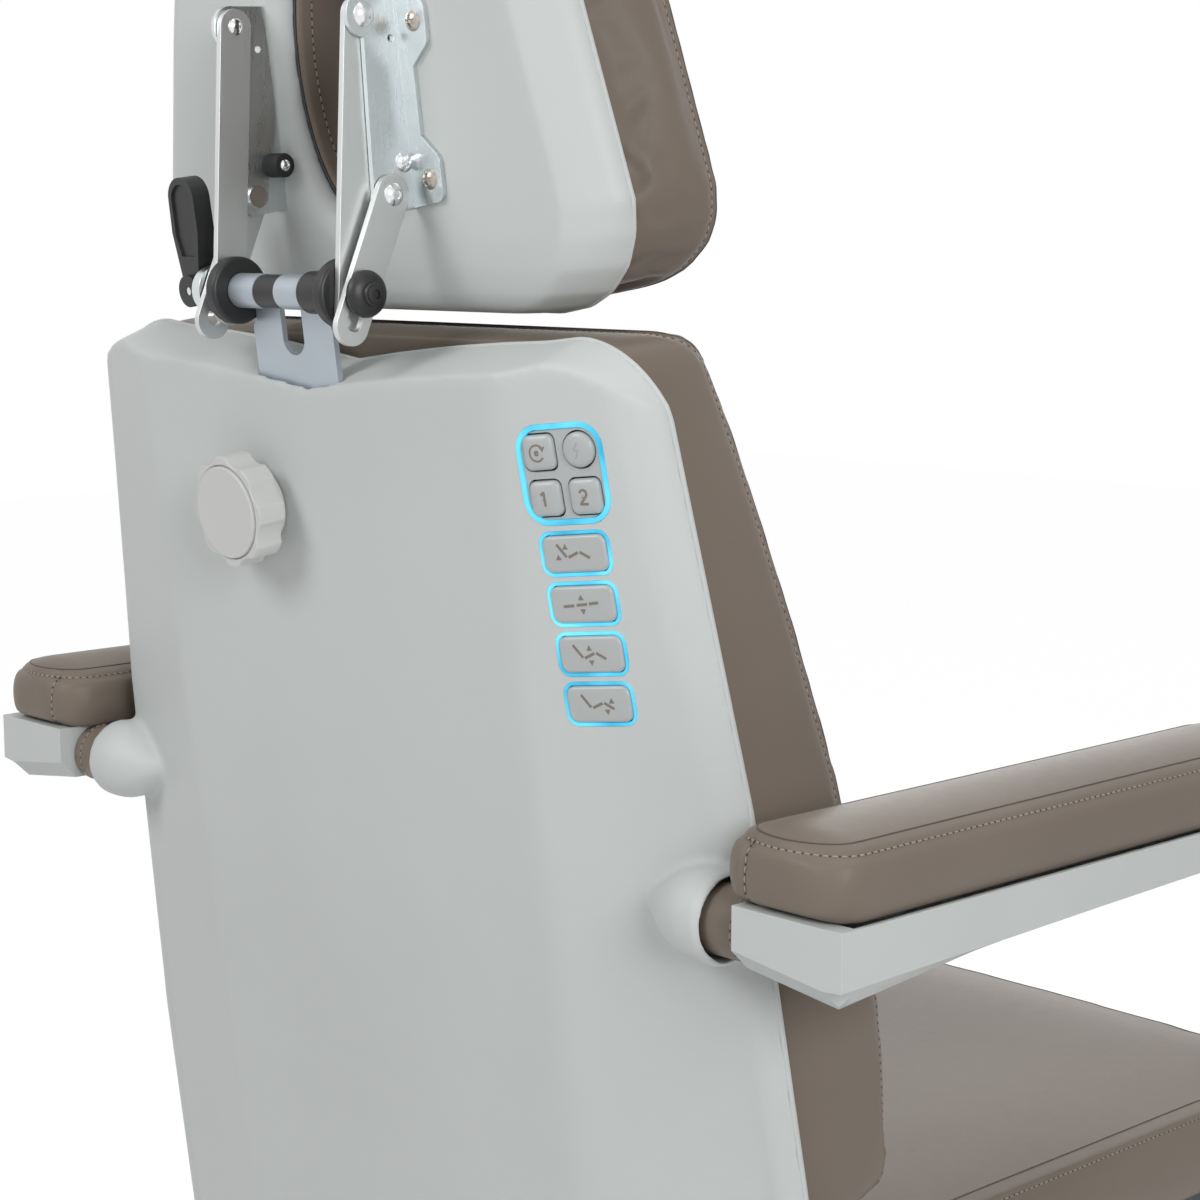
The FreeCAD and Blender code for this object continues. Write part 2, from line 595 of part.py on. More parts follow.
def back_shell():
    owner = body("back_shell", back)
    loft(owner, "XY", [shell_section(level, edge, "0", "shell_edge") for level, edge in BACK_LEVELS],
         ruled=True)
    doc.recompute()
    roof(owner)
    inner = [("tail - 1", "308"), ("110", "306"), ("350", "288"), ("back_high - 44", "251")]
    loft(owner, "XY", [shell_section(level, edge, "shell_wall", "shell_edge - 1") for level, edge in inner],
         cut=True, ruled=True)
    for side in SIDES:
        shaft_boss(owner, side)
    slab(owner, "XY", "back_high - 60", "back_high + 10",
         rectangle("fork_half_width + 1.5", "(fork_high - fork_low) / 2 + 1", "1", "fork_x",
                   "(fork_high + fork_low) / 2"),
         cut=True)
    slab(owner, "XZ", "shell_rear - 6", "shell_rear + 1", ("knob_x", "knob_z", "screw_radius + 1"), cut=True)
    for x, y in KEYS:
        hole = rectangle("key_half + key_gap", "key_half + key_gap", "4", x, y)
        panel_pocket(owner, "20", (x, y, "key_half + key_gap") if (x, y) == KEYS[1] else hole)
    for x, y in BARS:
        panel_pocket(owner, "20", rectangle("bar_half_width + key_gap", "bar_half_height + key_gap", "5", x,
                                            y))
        pivot_bores(owner, x, y)
    panel_pocket(owner, "ring_depth", *ring_loops("pad_ring", "pad_ring", "pad_ring_wide", "14", "0", "0"))
    for x, y in BARS:
        panel_pocket(owner, "ring_depth", *ring_loops("bar_half_width + bar_ring + key_gap",
                                                      "bar_half_height + bar_ring + key_gap", "bar_ring",
                                                      "7", x, y))


# Armrest boss: distance from its root and radius, which grows out of the shell like a bell
BELL = (("0", "2"), ("9", "8"), ("18", "14"), ("27", "20"), ("36", "24"), ("45", "boss_radius"),
        ("boss_face - boss_root - 2.5", "boss_radius"), ("boss_face - boss_root", "boss_radius - 1.6"))


def shaft_boss(owner, side):
    """The bell that carries an armrest shaft, cut flat beside the back pad."""
    axis = ("arm_axis_y", "arm_axis_z")
    loft(owner, "YZ", [(f"{side} * (boss_root + {reach})", (*axis, radius)) for reach, radius in BELL],
         ruled=True)
    slab(owner, "YZ", *span(side, "boss_floor", "boss_face + 8"), (*axis, "boss_radius - boss_wall"),
         cut=True)
    slab(owner, "YZ", *span(side, "boss_floor - 16", "boss_floor + 1"), (*axis, "shaft_radius"), cut=True)
    slab(owner, "YZ", *span(side, "boss_floor - 7", "boss_face + 1"),
         rectangle("4", "boss_radius + 4", "1", "shell_edge - 4.7", "arm_axis_z"), cut=True)


def pivot_bores(owner, x, y):
    """Bores in the panel for the two stub pivots of a rocker bar."""
    reach = "bar_half_height + pivot_reach + 0.1"
    top = Vector(size(x), size(f"{y} + {reach}"), -size("pivot_depth"))
    sketch = sketch_on(owner, "XY", offset=panel.multiply(Placement(top, Rotation(ALONG_X, -90))))
    draw(sketch, [("0", "0", "pivot_radius + running_gap")])
    step = feature(owner, "Pocket")
    step.Profile = sketch
    step.setExpression("Length", bind(f"({reach}) * 2"))


def roof(owner):
    """The sloped top of the back shell, lower in the middle and rounded at its two shoulders."""
    edge, drop, shoulder = "roof_edge", "-roof_drop", "roof_shoulder"
    frame = Placement(Vector(0, size("shell_rear"), size("back_high - 16")),
                      Rotation(ALONG_X, size("roof_turn")))
    sketch = sketch_on(owner, "XY", offset=frame)
    draw(sketch, [[(edge, "90"), (f"-{edge}", "90"), (f"-{edge}", drop), (f"-{shoulder}", "5", "-16"),
                   ("-crease_x", "2"), ("0", "-13", "-2"), ("crease_x", "2", "-2"), (shoulder, "5"),
                   (edge, drop, "-16")]])
    step = feature(owner, "Pocket")
    step.Profile = sketch
    step.Midplane = True
    step.setExpression("Length", bind("shell_rear * 8"))


KEYS = [(f"{x} * key_pitch", f"{y} * key_pitch") for y in (1, -1) for x in (-1, 1)]
BARS = [("0", f"-(bar_first + {step} * bar_pitch)") for step in range(4)]


def ring_loops(half_x, half_y, wide, corner, x, y):
    """Outer and inner outline of a light ring."""
    return (rectangle(half_x, half_y, corner, x, y),
            rectangle(f"{half_x} - ({wide})", f"{half_y} - ({wide})", f"{corner} - ({wide})", x, y))


def panel_pocket(owner, depth, *loops):
    """Cut loops drawn on the control panel into the back shell."""
    before = volume(owner)
    sketch = sketch_on(owner, "XY", offset=panel)
    draw(sketch, loops)
    step = feature(owner, "Pocket")
    step.Profile = sketch
    step.setExpression("Length", bind(depth))
    if volume(owner) > before - 0.1:
        raise RuntimeError("a panel pocket cuts nothing")


def back_frame():
    owner = body("back_frame", back)
    crank_plates(owner, "drive_x", "back_crank", "back_half_sweep", "crank_play",
                 size("recline + back_half_sweep"))
    cross_tube(owner)
    post = [("0", "-15"), ("34", "-15"), ("39", "-10"), ("39", "500"), ("9", "500"), ("9", "back_low + 16"),
            ("31", "back_low - 2"), ("31", "14"), ("0", "15")]
    for side in SIDES:
        slab(owner, "YZ", *span(side, "rail_low", "rail_high"), post)
    board = [("258", "back_low + 10"), ("226", "back_high - 55"), ("-226", "back_high - 55"),
             ("-258", "back_low + 10")]
    slab(owner, "XZ", "6", "9", board)
    round_edges(owner, ALONG_Y, "24", lambda place: 6 < place.y < 9)


def back_section(level, half, front, crown):
    """One level of the back pad: flat behind, drawn-in sides, crowned front."""
    rear = "shell_edge - 1"
    return level, [(f"{half} - 5", f"{front} + 10", "3"), (half, f"({front} + {rear}) / 2", "1.5"),
                   (f"{half} - 6", rear, "1.5"), (f"6 - ({half})", rear), (f"-({half})",
                                                                           f"({front} + {rear}) / 2", "1.5"),
                   (f"5 - ({half})", f"{front} + 10", "1.5"), (f"18 - ({half})", front, "3"),
                   (f"{half} - 18", front, crown)]


# Back pad: height, half width, front face and the step of its rounded ends
BACK_PAD = (("back_low", "302", "-70", 0), ("back_low + 3", "302", "-80", 1),
            ("back_low + 9", "302", "-87", 2),
            ("back_low + 20", "302", "-92", 3), ("218", "302", "-93", 3), ("270", "295", "-93", 3),
            ("348", "282", "-92", 3), ("428", "264", "-88", 3), ("515", "245", "-80", 3),
            ("back_high - 20", "231", "-72", 3), ("back_high - 9", "229", "-69", 2),
            ("back_high - 3", "228", "-64", 1), ("back_high", "227", "-56", 0))


def back_cushion():
    owner = body("back_cushion", back)
    loft(owner, "XY", [back_section(level, f"{half} - {ENDS[step][1]}", front, "6")
                       for level, half, front, step in BACK_PAD], ruled=True)


def light_rings():
    owner = body("light_rings", back.multiply(panel))
    proud = "0.5"
    slab(owner, "XY", "-ring_depth", proud, *ring_loops("pad_ring - 0.1", "pad_ring - 0.1",
                                                        "pad_ring_wide - 0.2",
                                                        "14", "0", "0"))
    for x, y in BARS:
        slab(owner, "XY", "-ring_depth", proud,
             *ring_loops("bar_half_width + bar_ring + key_gap - 0.1",
                         "bar_half_height + bar_ring + key_gap - 0.1",
                         "bar_ring - 0.2", "7", x, y))


def keys():
    """Four push keys and four rocker bars, each a sub-part of its own."""
    names = ("home_key", "power_key", "memory_key_one", "memory_key_two")
    for name, (x, y) in zip(names, KEYS):
        owner = body(name, back.multiply(panel))
        outline = (x, y, "key_half") if name == "power_key" else rectangle("key_half", "key_half", "4", x, y)
        slab(owner, "XY", "-key_depth", "key_proud", outline)
    names = ("back_rocker", "lift_rocker", "tilt_rocker", "leg_rocker")
    for name, (x, y) in zip(names, BARS):
        owner = body(name, back.multiply(panel))
        slab(owner, "XY", "-key_depth", "key_proud", rectangle("bar_half_width", "bar_half_height", "5", x,
                                                               y))
        reach = "bar_half_height + pivot_reach"
        slab(owner, "XZ", f"{y} - ({reach})", f"{y} + {reach}", (x, "-pivot_depth", "pivot_radius"))


def neck_guide():
    owner = body("neck_guide", back)
    plate = [("80", "424"), ("80", "548"), ("-48", "548"), ("-48", "424")]
    slab(owner, "XZ", "27.5", "fork_low - 0.3", plate, ("knob_x", "knob_z", "screw_radius + running_gap"))
    for x in ("-43", "71"):
        slab(owner, "XZ", "9", "27.5", rectangle("5", "58", "2", x, "486"))
    round_edges(owner, ALONG_Y, "8", lambda place: place.y > 26)


def arm_shafts():
    owner = body("arm_shafts", back)
    axis = ("arm_axis_y", "arm_axis_z")
    for side in SIDES:
        slab(owner, "YZ", *span(side, "boss_floor - 15", "tray_inner + 26"), (*axis, "shaft_radius"))
        slab(owner, "YZ", *span(side, "boss_floor", "boss_floor + 4"), (*axis, "boss_radius - boss_wall - 2"))


# Armrests

HANDS = (("left", 1), ("right", -1))


def pad_section(y, inset, drop):
    """One cross-section of an armrest pad."""
    inner, outer = f"pad_inner + {inset} * 1.5", f"pad_outer - {inset} * 1.5"
    side = f"pad_side - {drop} * 0.6"
    low = f"pad_low + {drop} * 0.3"
    middle = f"({low} + {side}) / 2"
    return y, [(f"{outer} - 5", low), (outer, middle, "1.5"), (f"{outer} - 5", side, "2"),
               (f"{inner} + 5", side, "9"), (inner, middle, "2"), (f"{inner} + 5", low, "1.5")]


def sided(side, sections):
    """Sections drawn for the left side, mirrored for the right."""
    return sections if side > 0 else [(level, mirrored(corners)) for level, corners in sections]


def arm_pads():
    for name, side in HANDS:
        owner = body(f"arm_pad_{name}", arm)
        sections = [pad_section(*level) for level in pad_ends("-pad_front", "pad_rear")]
        loft(owner, "XZ", sided(side, sections), ruled=True)


# Tray underside: distance behind the axis, heights of the outer crease, keel and inner wall's foot
TRAY = (("12 - pad_front", "7.5", "5.5", "5.5"), ("20 - pad_front", "-0.5", "-1.5", "-1.5"),
        ("-296", "-4", "-5.5", "-4.5"), ("-186", "-6.5", "-9.5", "-7.5"), ("-86", "-9", "-15.5", "-12.5"),
        ("-16", "-10.5", "-21.5", "-16.5"), ("tray_rear - 12", "-11.5", "-24.5", "-16.5"),
        ("tray_rear", "-12", "-13", "-5"))


def tray_section(y, crease, keel, foot, inset, top):
    """One cross-section of an armrest tray: upright walls and an underside drawn in from the outer crease."""
    inner, outer = f"tray_inner + {inset}", f"tray_outer - {inset}"
    return y, [(f"{outer} - 12", f"{keel} + {inset}"), (outer, f"{crease} + {inset} * 0.4"), (outer, top),
               (inner, top),
               (inner, f"{foot} + {inset}")]


def arm_trays():
    for name, side in HANDS:
        owner = body(f"arm_tray_{name}", arm)
        outside = [tray_section(*level, "0", "tray_top") for level in TRAY]
        first = (f"{TRAY[0][0]} + tray_wall", *TRAY[0][1:])
        inside = [tray_section(*level, "tray_wall", "tray_top + 1") for level in (first, *TRAY[1:-1])]
        loft(owner, "XZ", sided(side, outside), ruled=True)
        loft(owner, "XZ", sided(side, inside), cut=True, ruled=True)
        slab(owner, "YZ", *span(side, "tray_inner - 1", "tray_inner + tray_wall + 1"),
             ("0", "0", "shaft_radius + 1"), cut=True)


def arm_brackets():
    for name, side in HANDS:
        owner = body(f"arm_bracket_{name}", arm)
        eye = "bracket_eye"
        plate = [(f"-{eye}", f"-{eye}"), (eye, f"-{eye}"), (eye, eye), ("-16", "pad_low"),
                 ("-330", "pad_low"),
                 ("-330", "pad_low - 8"), ("-150", "4")]
        bore = ("0", "0", "shaft_radius + running_gap")
        slab(owner, "YZ", *span(side, "tray_inner + 6", "tray_inner + 12"), plate, bore)
        slab(owner, "YZ", *span(side, "tray_inner + 6", "tray_inner + 20"), ("0", "0", eye), bore)
        flange = rectangle("19", "140", "4", f"{side} * (tray_inner + 25)", "-180")
        slab(owner, "XY", "pad_low - 4", "pad_low", flange)


def arm_rollers():
    for name, side in HANDS:
        owner = body(f"arm_roller_{name}", arm)
        slab(owner, "YZ", *span(side, "roller_inner", "tray_inner - 0.5"), ("0", "0", "roller_radius"),
             ("0", "0", "shaft_radius + running_gap"))


# Knob, neck and headrest linkage

def knob_outline():
    """A round grip with eight shallow scallops."""
    corners = []
    for lobe in range(8):
        for angle, bulge in ((45 * lobe - 9, "-2.2"), (45 * lobe + 9, "0.6")):
            corners.append((f"knob_x + knob_radius * cos({angle})", f"knob_z + knob_radius * sin({angle})",
                            bulge))
    return corners


def clamp_knob():
    owner = body("clamp_knob", back)
    centre = ("knob_x", "knob_z")
    slab(owner, "XZ", "knob_low", "knob_low + 8", (*centre, "knob_radius * 0.7"))
    slab(owner, "XZ", "knob_low + 8", "knob_low + 26", knob_outline())
    slab(owner, "XZ", "27.5", "knob_low", (*centre, "screw_radius"))
    slab(owner, "XZ", "knob_low + 24.5", "knob_low + 27", (*centre, "knob_radius - 5"), cut=True)


def knob_cap():
    owner = body("knob_cap", back)
    slab(owner, "XZ", "knob_low + 24.5", "knob_low + 27.5", ("knob_x", "knob_z", "knob_radius - 5.6"))
    round_circles(owner, "0.8", lambda place: place.y > size("knob_low + 27"))


def neck_fork():
    owner = body("neck_fork", back)
    left, right = "fork_x + fork_half_width", "fork_x - fork_half_width"
    notch_left, notch_right = "fork_x + notch_half", "fork_x - notch_half"
    tab_left, tab_right = "fork_x + eye_end", "fork_x - eye_end"
    top, neck, floor = "shaft_z - 2", "shaft_z - 18", "shaft_z - notch_depth + 8"
    slot = rectangle("screw_radius + 0.4", "neck_travel / 2 + 5.5", "4", "knob_x", "knob_z - neck_travel / 2")
    plate = [(right, "fork_bottom"), ("knob_x + 14", "fork_bottom"), ("knob_x + 14", "knob_z + 7.5"),
             (left, "knob_z + 9.5"), (left, f"{neck} - 8"), (tab_left, neck, "1.5"), (tab_left, top),
             (notch_left, top), (notch_left, floor), (notch_right, floor, "-8"), (notch_right, top),
             (tab_right, top), (tab_right, neck), (right, f"{neck} - 8", "1.5")]
    slab(owner, "XZ", "fork_low", "fork_high", plate, slot)
    eye = ("shaft_y", "shaft_z", "eye_radius")
    slab(owner, "YZ", notch_left, tab_left, eye)
    slab(owner, "YZ", tab_right, notch_right, eye)
    slab(owner, "YZ", f"{tab_right} - 1", f"{tab_left} + 1", ("shaft_y", "shaft_z", "neck_shaft_radius"),
         cut=True)


def head_shaft():
    owner = body("head_shaft", within(back, "shaft_y", "shaft_z"))
    slab(owner, "YZ", "0.5 - link_x", "link_x - 0.5", ("0", "0", "neck_shaft_radius"))
    slab(owner, "YZ", "4 - nut_end", "0.5 - link_x", ("0", "0", "stub_radius"))
    slab(owner, "YZ", "link_x - 0.5", "link_x + link_thick + 1", ("0", "0", "stub_radius"))
    slab(owner, "YZ", "link_x + link_thick + 1", "collar_x", ("0", "0", "14"))
    slab(owner, "XZ", "-4", "4", [("collar_x", "-6"), ("lever_x + 6", "-6"), ("lever_x + 6", "6"),
                                  ("collar_x", "6")])
    slab(owner, "XZ", "-8.5", "8.5", ("lever_x", "0", "2.5"))


def clamp_spacers():
    owner = body("clamp_spacers", within(back, "shaft_y", "shaft_z"))
    bore = ("0", "0", "neck_shaft_radius")
    slab(owner, "YZ", "fork_x - notch_half + 0.4", "fork_x + notch_half - 0.4", ("0", "0", "9.6"), bore)
    slab(owner, "YZ", "-disc_x", "fork_x - eye_end - 0.4", ("0", "0", "12"), bore)
    for side in SIDES:
        slab(owner, "YZ", *span(side, "disc_x", "arm_plate_x - 0.4"), ("0", "0", "19.5"), bore)
    round_circles(owner, "2.5", lambda place: abs(place.x) > size("disc_x") - 0.1)


def shaft_nut():
    owner = body("shaft_nut", within(back, "shaft_y", "shaft_z"))
    slab(owner, "YZ", "-nut_end", "-link_x - link_thick - 1", ("0", "0", "13"))
    slab(owner, "YZ", "4 - nut_end", "-link_x - link_thick - 0.5", ("0", "0", "stub_radius"), cut=True)
    round_circles(owner, "5", lambda place: place.x < 1 - size("nut_end"))


def link_outline(low, high, half):
    """A bar along Z, to be rounded at both ends."""
    return [(f"-{half}", low), (half, low), (half, high), (f"-{half}", high)]


def head_arms():
    turn = size("atan2(upper_y - shaft_y; upper_z - shaft_z)")
    owner = body("head_arms", within(back, "shaft_y", "shaft_z", -turn))
    reach = "sqrt((upper_y - shaft_y)^2 + (upper_z - shaft_z)^2)"
    for side in SIDES:
        slab(owner, "YZ", *span(side, "arm_plate_x", "arm_plate_x + arm_plate_thick"),
             link_outline("-20", f"{reach} + 10", "10.5"), ("0", "0", "neck_shaft_radius + running_gap"),
             ("0", reach, "rivet_radius + running_gap"))
    round_edges(owner, ALONG_X, "10")


def slot_links():
    turn = size("atan2(shaft_y - lower_y; lower_z - shaft_z)")
    owner = body("slot_links", within(back, "lower_y", "lower_z", turn))
    slot = rectangle("stub_radius + 1.8", "15.4", "4.5", "0", "-64.6")
    for side in SIDES:
        slab(owner, "YZ", *span(side, "link_x", "link_x + link_thick"), link_outline("-88", "11", "11"),
             ("0", "0", "rivet_radius + running_gap"), slot)
    round_edges(owner, ALONG_X, "10.8", lambda place: abs(place.y) > 10)


def head_brackets():
    owner = body("head_brackets", back)
    low, high = "lower_z - 10", "upper_z + 10"
    web = [("head_rear", low), ("lower_y + 4", f"{low} - 1"), ("lower_y + 10", "lower_z + 2", "3"),
           ("upper_y + 2", "upper_z - 12"), ("upper_y + 11.6", "upper_z + 3", "4"),
           ("upper_y - 3", "upper_z + 11.6", "3.5"), ("head_rear", high)]
    holes = [("upper_y", "upper_z", "rivet_radius"), ("lower_y", "lower_z", "rivet_radius"),
             ("stop_y", "upper_z - 14", "2")]
    for side in SIDES:
        slab(owner, "YZ", *span(side, "web_x", "web_x + web_thick"), web, *holes)
        edge, waist = "flange_edge", "flange_edge - 14"
        flange = [("web_x", low), (edge, f"{low} + 4"), (edge, f"{low} + 28"), (waist, f"{low} + 40"),
                  (waist, f"{high} - 40"), (edge, f"{high} - 28"), (edge, f"{high} - 4"), ("web_x", high)]
        if side < 0:
            flange = mirrored(flange)
        screws = [(f"{side} * screw_x", z, "2.5") for z in (f"{low} + 16", f"{high} - 16")]
        slab(owner, "XZ", "head_rear", "head_rear + web_thick", flange, *screws)
    round_edges(owner, ALONG_Y, "6", lambda place: abs(place.x) > size("screw_x"))


def bracket_fasteners():
    owner = body("bracket_fasteners", back)
    upper, lower = ("upper_y", "upper_z"), ("lower_y", "lower_z")
    low, high = "lower_z - 10", "upper_z + 10"
    for side in SIDES:
        slab(owner, "YZ", *span(side, "arm_plate_x - 3", "arm_plate_x - 0.3"), (*upper, "8"))
        slab(owner, "YZ", *span(side, "arm_plate_x - 0.3", "web_x + web_thick"), (*upper, "rivet_radius"))
        slab(owner, "YZ", *span(side, "web_x + web_thick", "web_x + web_thick + 2.6"), (*upper, "7"))
        slab(owner, "YZ", *span(side, "web_x - 2", "web_x"), (*lower, "6.5"))
        slab(owner, "YZ", *span(side, "web_x", "link_x + link_thick + 0.3"), (*lower, "rivet_radius"))
        slab(owner, "YZ", *span(side, "link_x + link_thick + 0.3", "link_x + link_thick + 3"),
             (*lower, "7.5"))
        screws = [(f"{side} * screw_x", z) for z in (f"{low} + 16", f"{high} - 16")]
        slab(owner, "XZ", "head_rear", "head_rear + web_thick", *[(*screw, "2.5") for screw in screws])
        slab(owner, "XZ", "head_rear + web_thick", "head_rear + web_thick + 2.6",
             *[(*screw, "5") for screw in screws])


def stop_bumper():
    owner = body("stop_bumper", back)
    slab(owner, "YZ", "web_x - 13", "web_x", ("stop_y", "stop_z", "7"))


def clamp_lever():
    owner = body("clamp_lever", within(back, "shaft_y", "shaft_z"))
    paddle = [("lever_x - 7", "2"), ("lever_x + 7", "2"), ("lever_x + 13", "34"), ("lever_x + 12.5", "55"),
              ("lever_x - 12.5", "55", "11"), ("lever_x - 13", "34")]
    thumb_rest = [("lever_x - 6", "20"), ("lever_x + 6", "20"), ("lever_x + 9.5", "32"),
                  ("lever_x + 9.5", "54"),
                  ("lever_x - 9.5", "54", "8"), ("lever_x - 9.5", "32")]
    slab(owner, "XZ", "-9", "9", ("lever_x", "0", "9.4"))
    slab(owner, "XZ", "-6", "6", paddle)
    slab(owner, "XZ", "4.5", "7", thumb_rest, cut=True)
    slab(owner, "XZ", "-4.5", "4.5", rectangle("13", "13", "3", "lever_x - 1", "-2"), cut=True)
    slab(owner, "XZ", "-12", "12", ("lever_x", "0", "2.5 + running_gap"), cut=True)


# Headrest

# Headrest outline: height, half width and how far its two ends draw toward the pad
HEAD_LEVELS = (("head_low_z", "144", "14"), ("head_low_z + 4", "167", "8"), ("head_low_z + 12", "184", "4"),
               ("head_low_z + 26", "198", "1"), ("head_low_z + 42", "205", "0"), ("head_low_z + 60", "207",
                                                                                  "0"),
               ("head_low_z + 166", "181", "0"), ("head_high_z - 36", "156", "0"), ("head_high_z - 20",
                                                                                    "150", "1"),
               ("head_high_z - 9", "141", "4"), ("head_high_z - 3", "130", "8"), ("head_high_z", "116", "14"))


def head_shell_section(level, edge, drop, inset):
    """One level of the headrest shell, closer to the pad at its two ends."""
    rear = f"head_rear - {drop} - {inset}"
    crease = f"({edge} - 28 - {inset} * 0.5)"
    rim = f"({edge} - {inset})"
    front = "head_edge" if inset == "0" else "head_edge - 1"
    return level, [(rim, front), (f"{rim} - 5", f"head_edge + 12 - {drop} * 0.4", "1"), (crease, rear, "1"),
                   (f"-{crease}", rear), (f"5 - {rim}", f"head_edge + 12 - {drop} * 0.4", "1"),
                   (f"-{rim}", front, "1")]


# The long axis of the face opening stands upright
OVAL_TURN = Rotation(Vector(0, 0, 1), Vector(1, 0, 0), Vector(0, 1, 0), "XZY")

# Rounded lip of the face opening: growth over the opening's half sizes, and level
FLARE = (("lining + 18", "head_rear + 0.5"), ("lining + 11", "head_rear - 1.2"),
         ("lining + 5", "head_rear - 4.5"),
         ("lining + 1.5", "head_rear - 9"), ("lining + 0.5", "head_rear - 15"))


def face_oval(label, extra, low, high):
    """An oval prism along Y that passes through the headrest."""
    oval = doc.addObject("Part::Ellipse", label + "_oval")
    oval.setExpression("MajorRadius", bind(f"face_half_height + {extra}"))
    oval.setExpression("MinorRadius", bind(f"face_half_width + {extra}"))
    oval.Placement = Placement(Vector(0, size(low), size("face_z")), OVAL_TURN)
    prism = doc.addObject("Part::Extrusion", label)
    prism.Base = oval
    prism.DirMode = "Custom"
    prism.Dir = ALONG_Y
    prism.Solid = True
    prism.setExpression("LengthFwd", bind(f"({high}) - ({low})"))
    return prism


def face_flare(label):
    """A dish that widens the oval opening toward the rear of the headrest shell."""
    rings = []
    for index, (extra, level) in enumerate(FLARE):
        oval = doc.addObject("Part::Ellipse", f"{label}_oval_{index}")
        oval.setExpression("MajorRadius", bind(f"face_half_height + {extra}"))
        oval.setExpression("MinorRadius", bind(f"face_half_width + {extra}"))
        oval.Placement = Placement(Vector(0, size(level), size("face_z")), OVAL_TURN)
        rings.append(oval)
    dish = doc.addObject("Part::Loft", label)
    dish.Sections = rings
    dish.Solid = True
    dish.Ruled = True
    return dish


def boolean(kind, label, base, tool):
    """A boolean of two solids, with the base's own frame taken over by the result."""
    step = doc.addObject("Part::" + kind, label)
    step.Base = base
    step.Tool = tool
    step.Label = label
    return step


def headrest_shell():
    owner = body("headrest_shell_form", world)
    loft(owner, "XY", [head_shell_section(*level, "0") for level in HEAD_LEVELS], ruled=True)
    inner = [("head_low_z + 6", "164", "7"), *HEAD_LEVELS[2:-2], ("head_high_z - 6", "132", "7")]
    loft(owner, "XY", [head_shell_section(*level, "shell_wall") for level in inner], cut=True, ruled=True)
    lip = face_oval("shell_lip", "lining + 20", "head_rear - 15", "head_rear - shell_wall + 1")
    lipped = boolean("Fuse", "headrest_shell_lipped", owner, lip)
    flared = boolean("Cut", "headrest_shell_flared", lipped, face_flare("shell_flare"))
    opening = face_oval("shell_opening", "lining + 0.5", "head_edge - 10", "head_rear + 10")
    finish(boolean("Cut", "headrest_shell", flared, opening), owner)


def finish(result, form):
    """Put a boolean's result in its form's place among the sub-parts, in the back's frame."""
    sub_parts[sub_parts.index(form)] = result
    result.Placement = back


def head_pad_section(level, half, front, crown):
    """One level of the headrest pad."""
    rear = "head_edge - 1"
    return level, [(f"{half} - 4", f"{front} + 9", "2"), (half, f"({front} + {rear}) / 2", "1.5"),
                   (f"{half} - 5", rear, "1.5"), (f"5 - ({half})", rear), (f"-({half})",
                                                                           f"({front} + {rear}) / 2", "1.5"),
                   (f"4 - ({half})", f"{front} + 9", "1.5"), (f"16 - ({half})", front, "3"),
                   (f"{half} - 16", front, crown)]


def headrest_cushion():
    owner = body("headrest_cushion_form", world)
    front = "head_front"
    loft(owner, "XY", [head_pad_section(level, f"{half} + 2", f"{front} + {drop} * 1.7", "5")
                       for level, half, drop in HEAD_LEVELS], ruled=True)
    collar = face_oval("lining_collar", "lining", "head_edge - 20", "head_rear - 13")
    whole = boolean("Fuse", "headrest_cushion_whole", owner, collar)
    opening = face_oval("face_opening", "0", "head_front - 30", "head_rear + 10")
    finish(boolean("Cut", "headrest_cushion", whole, opening), owner)


# Leg rest

def leg_frame():
    owner = body("leg_frame", leg)
    crank_plates(owner, "-drive_x", "leg_crank", "leg_half_sweep", "leg_crank_play",
                 size("leg_half_sweep - leg_hang"))
    cross_tube(owner)
    rail = [("-430", "-9"), ("0", "-14"), ("0", "14"), ("-430", "13")]
    for side in SIDES:
        slab(owner, "YZ", *span(side, "rail_low", "rail_high"), rail)
    board = [("258", "30 - leg_length"), ("258", "-66"), ("-258", "-66"), ("-258", "30 - leg_length")]
    slab(owner, "XY", "13", "16", board)
    round_edges(owner, ALONG_Z, "20", lambda place: abs(place.x) > 240)


def leg_cushion():
    owner = body("leg_cushion", leg)
    low, top = "leg_cushion_low", "leg_cushion_high"
    levels = pad_ends("-leg_length", "-leg_start")
    loft(owner, "XZ", [seat_section(y, f"seat_half_width - 2 - {inset}", f"{low} + {drop} * 0.5",
                                    f"{top} - {drop}", "6") for y, inset, drop in levels], ruled=True)


def leg_shell_section(level, inset_x, wall):
    """One level of the leg rest's rear shell."""
    middle = "-(leg_length + 96) / 2"
    return level, rectangle(f"292 - {inset_x} - {wall}", f"(leg_length - 100) / 2 - {inset_x} * 0.5 - {wall}",
                            f"40 - {wall}", "0", middle)


def leg_shell():
    owner = body("leg_shell", leg)
    low = "leg_shell_low"
    outside = ((low, "26"), (f"{low} + 4", "13"), (f"{low} + 12", "5"), ("12", "0"))
    inside = ((f"{low} + 4", "26"), (f"{low} + 8", "13"), (f"{low} + 14", "5"), ("13", "0"))
    loft(owner, "XY", [leg_shell_section(*level, "0") for level in outside], ruled=True)
    loft(owner, "XY", [leg_shell_section(*level, "4") for level in inside], cut=True, ruled=True)
    slab(owner, "XZ", "-110", "-80", rectangle("222", "30", "6", "0", "14"), cut=True)


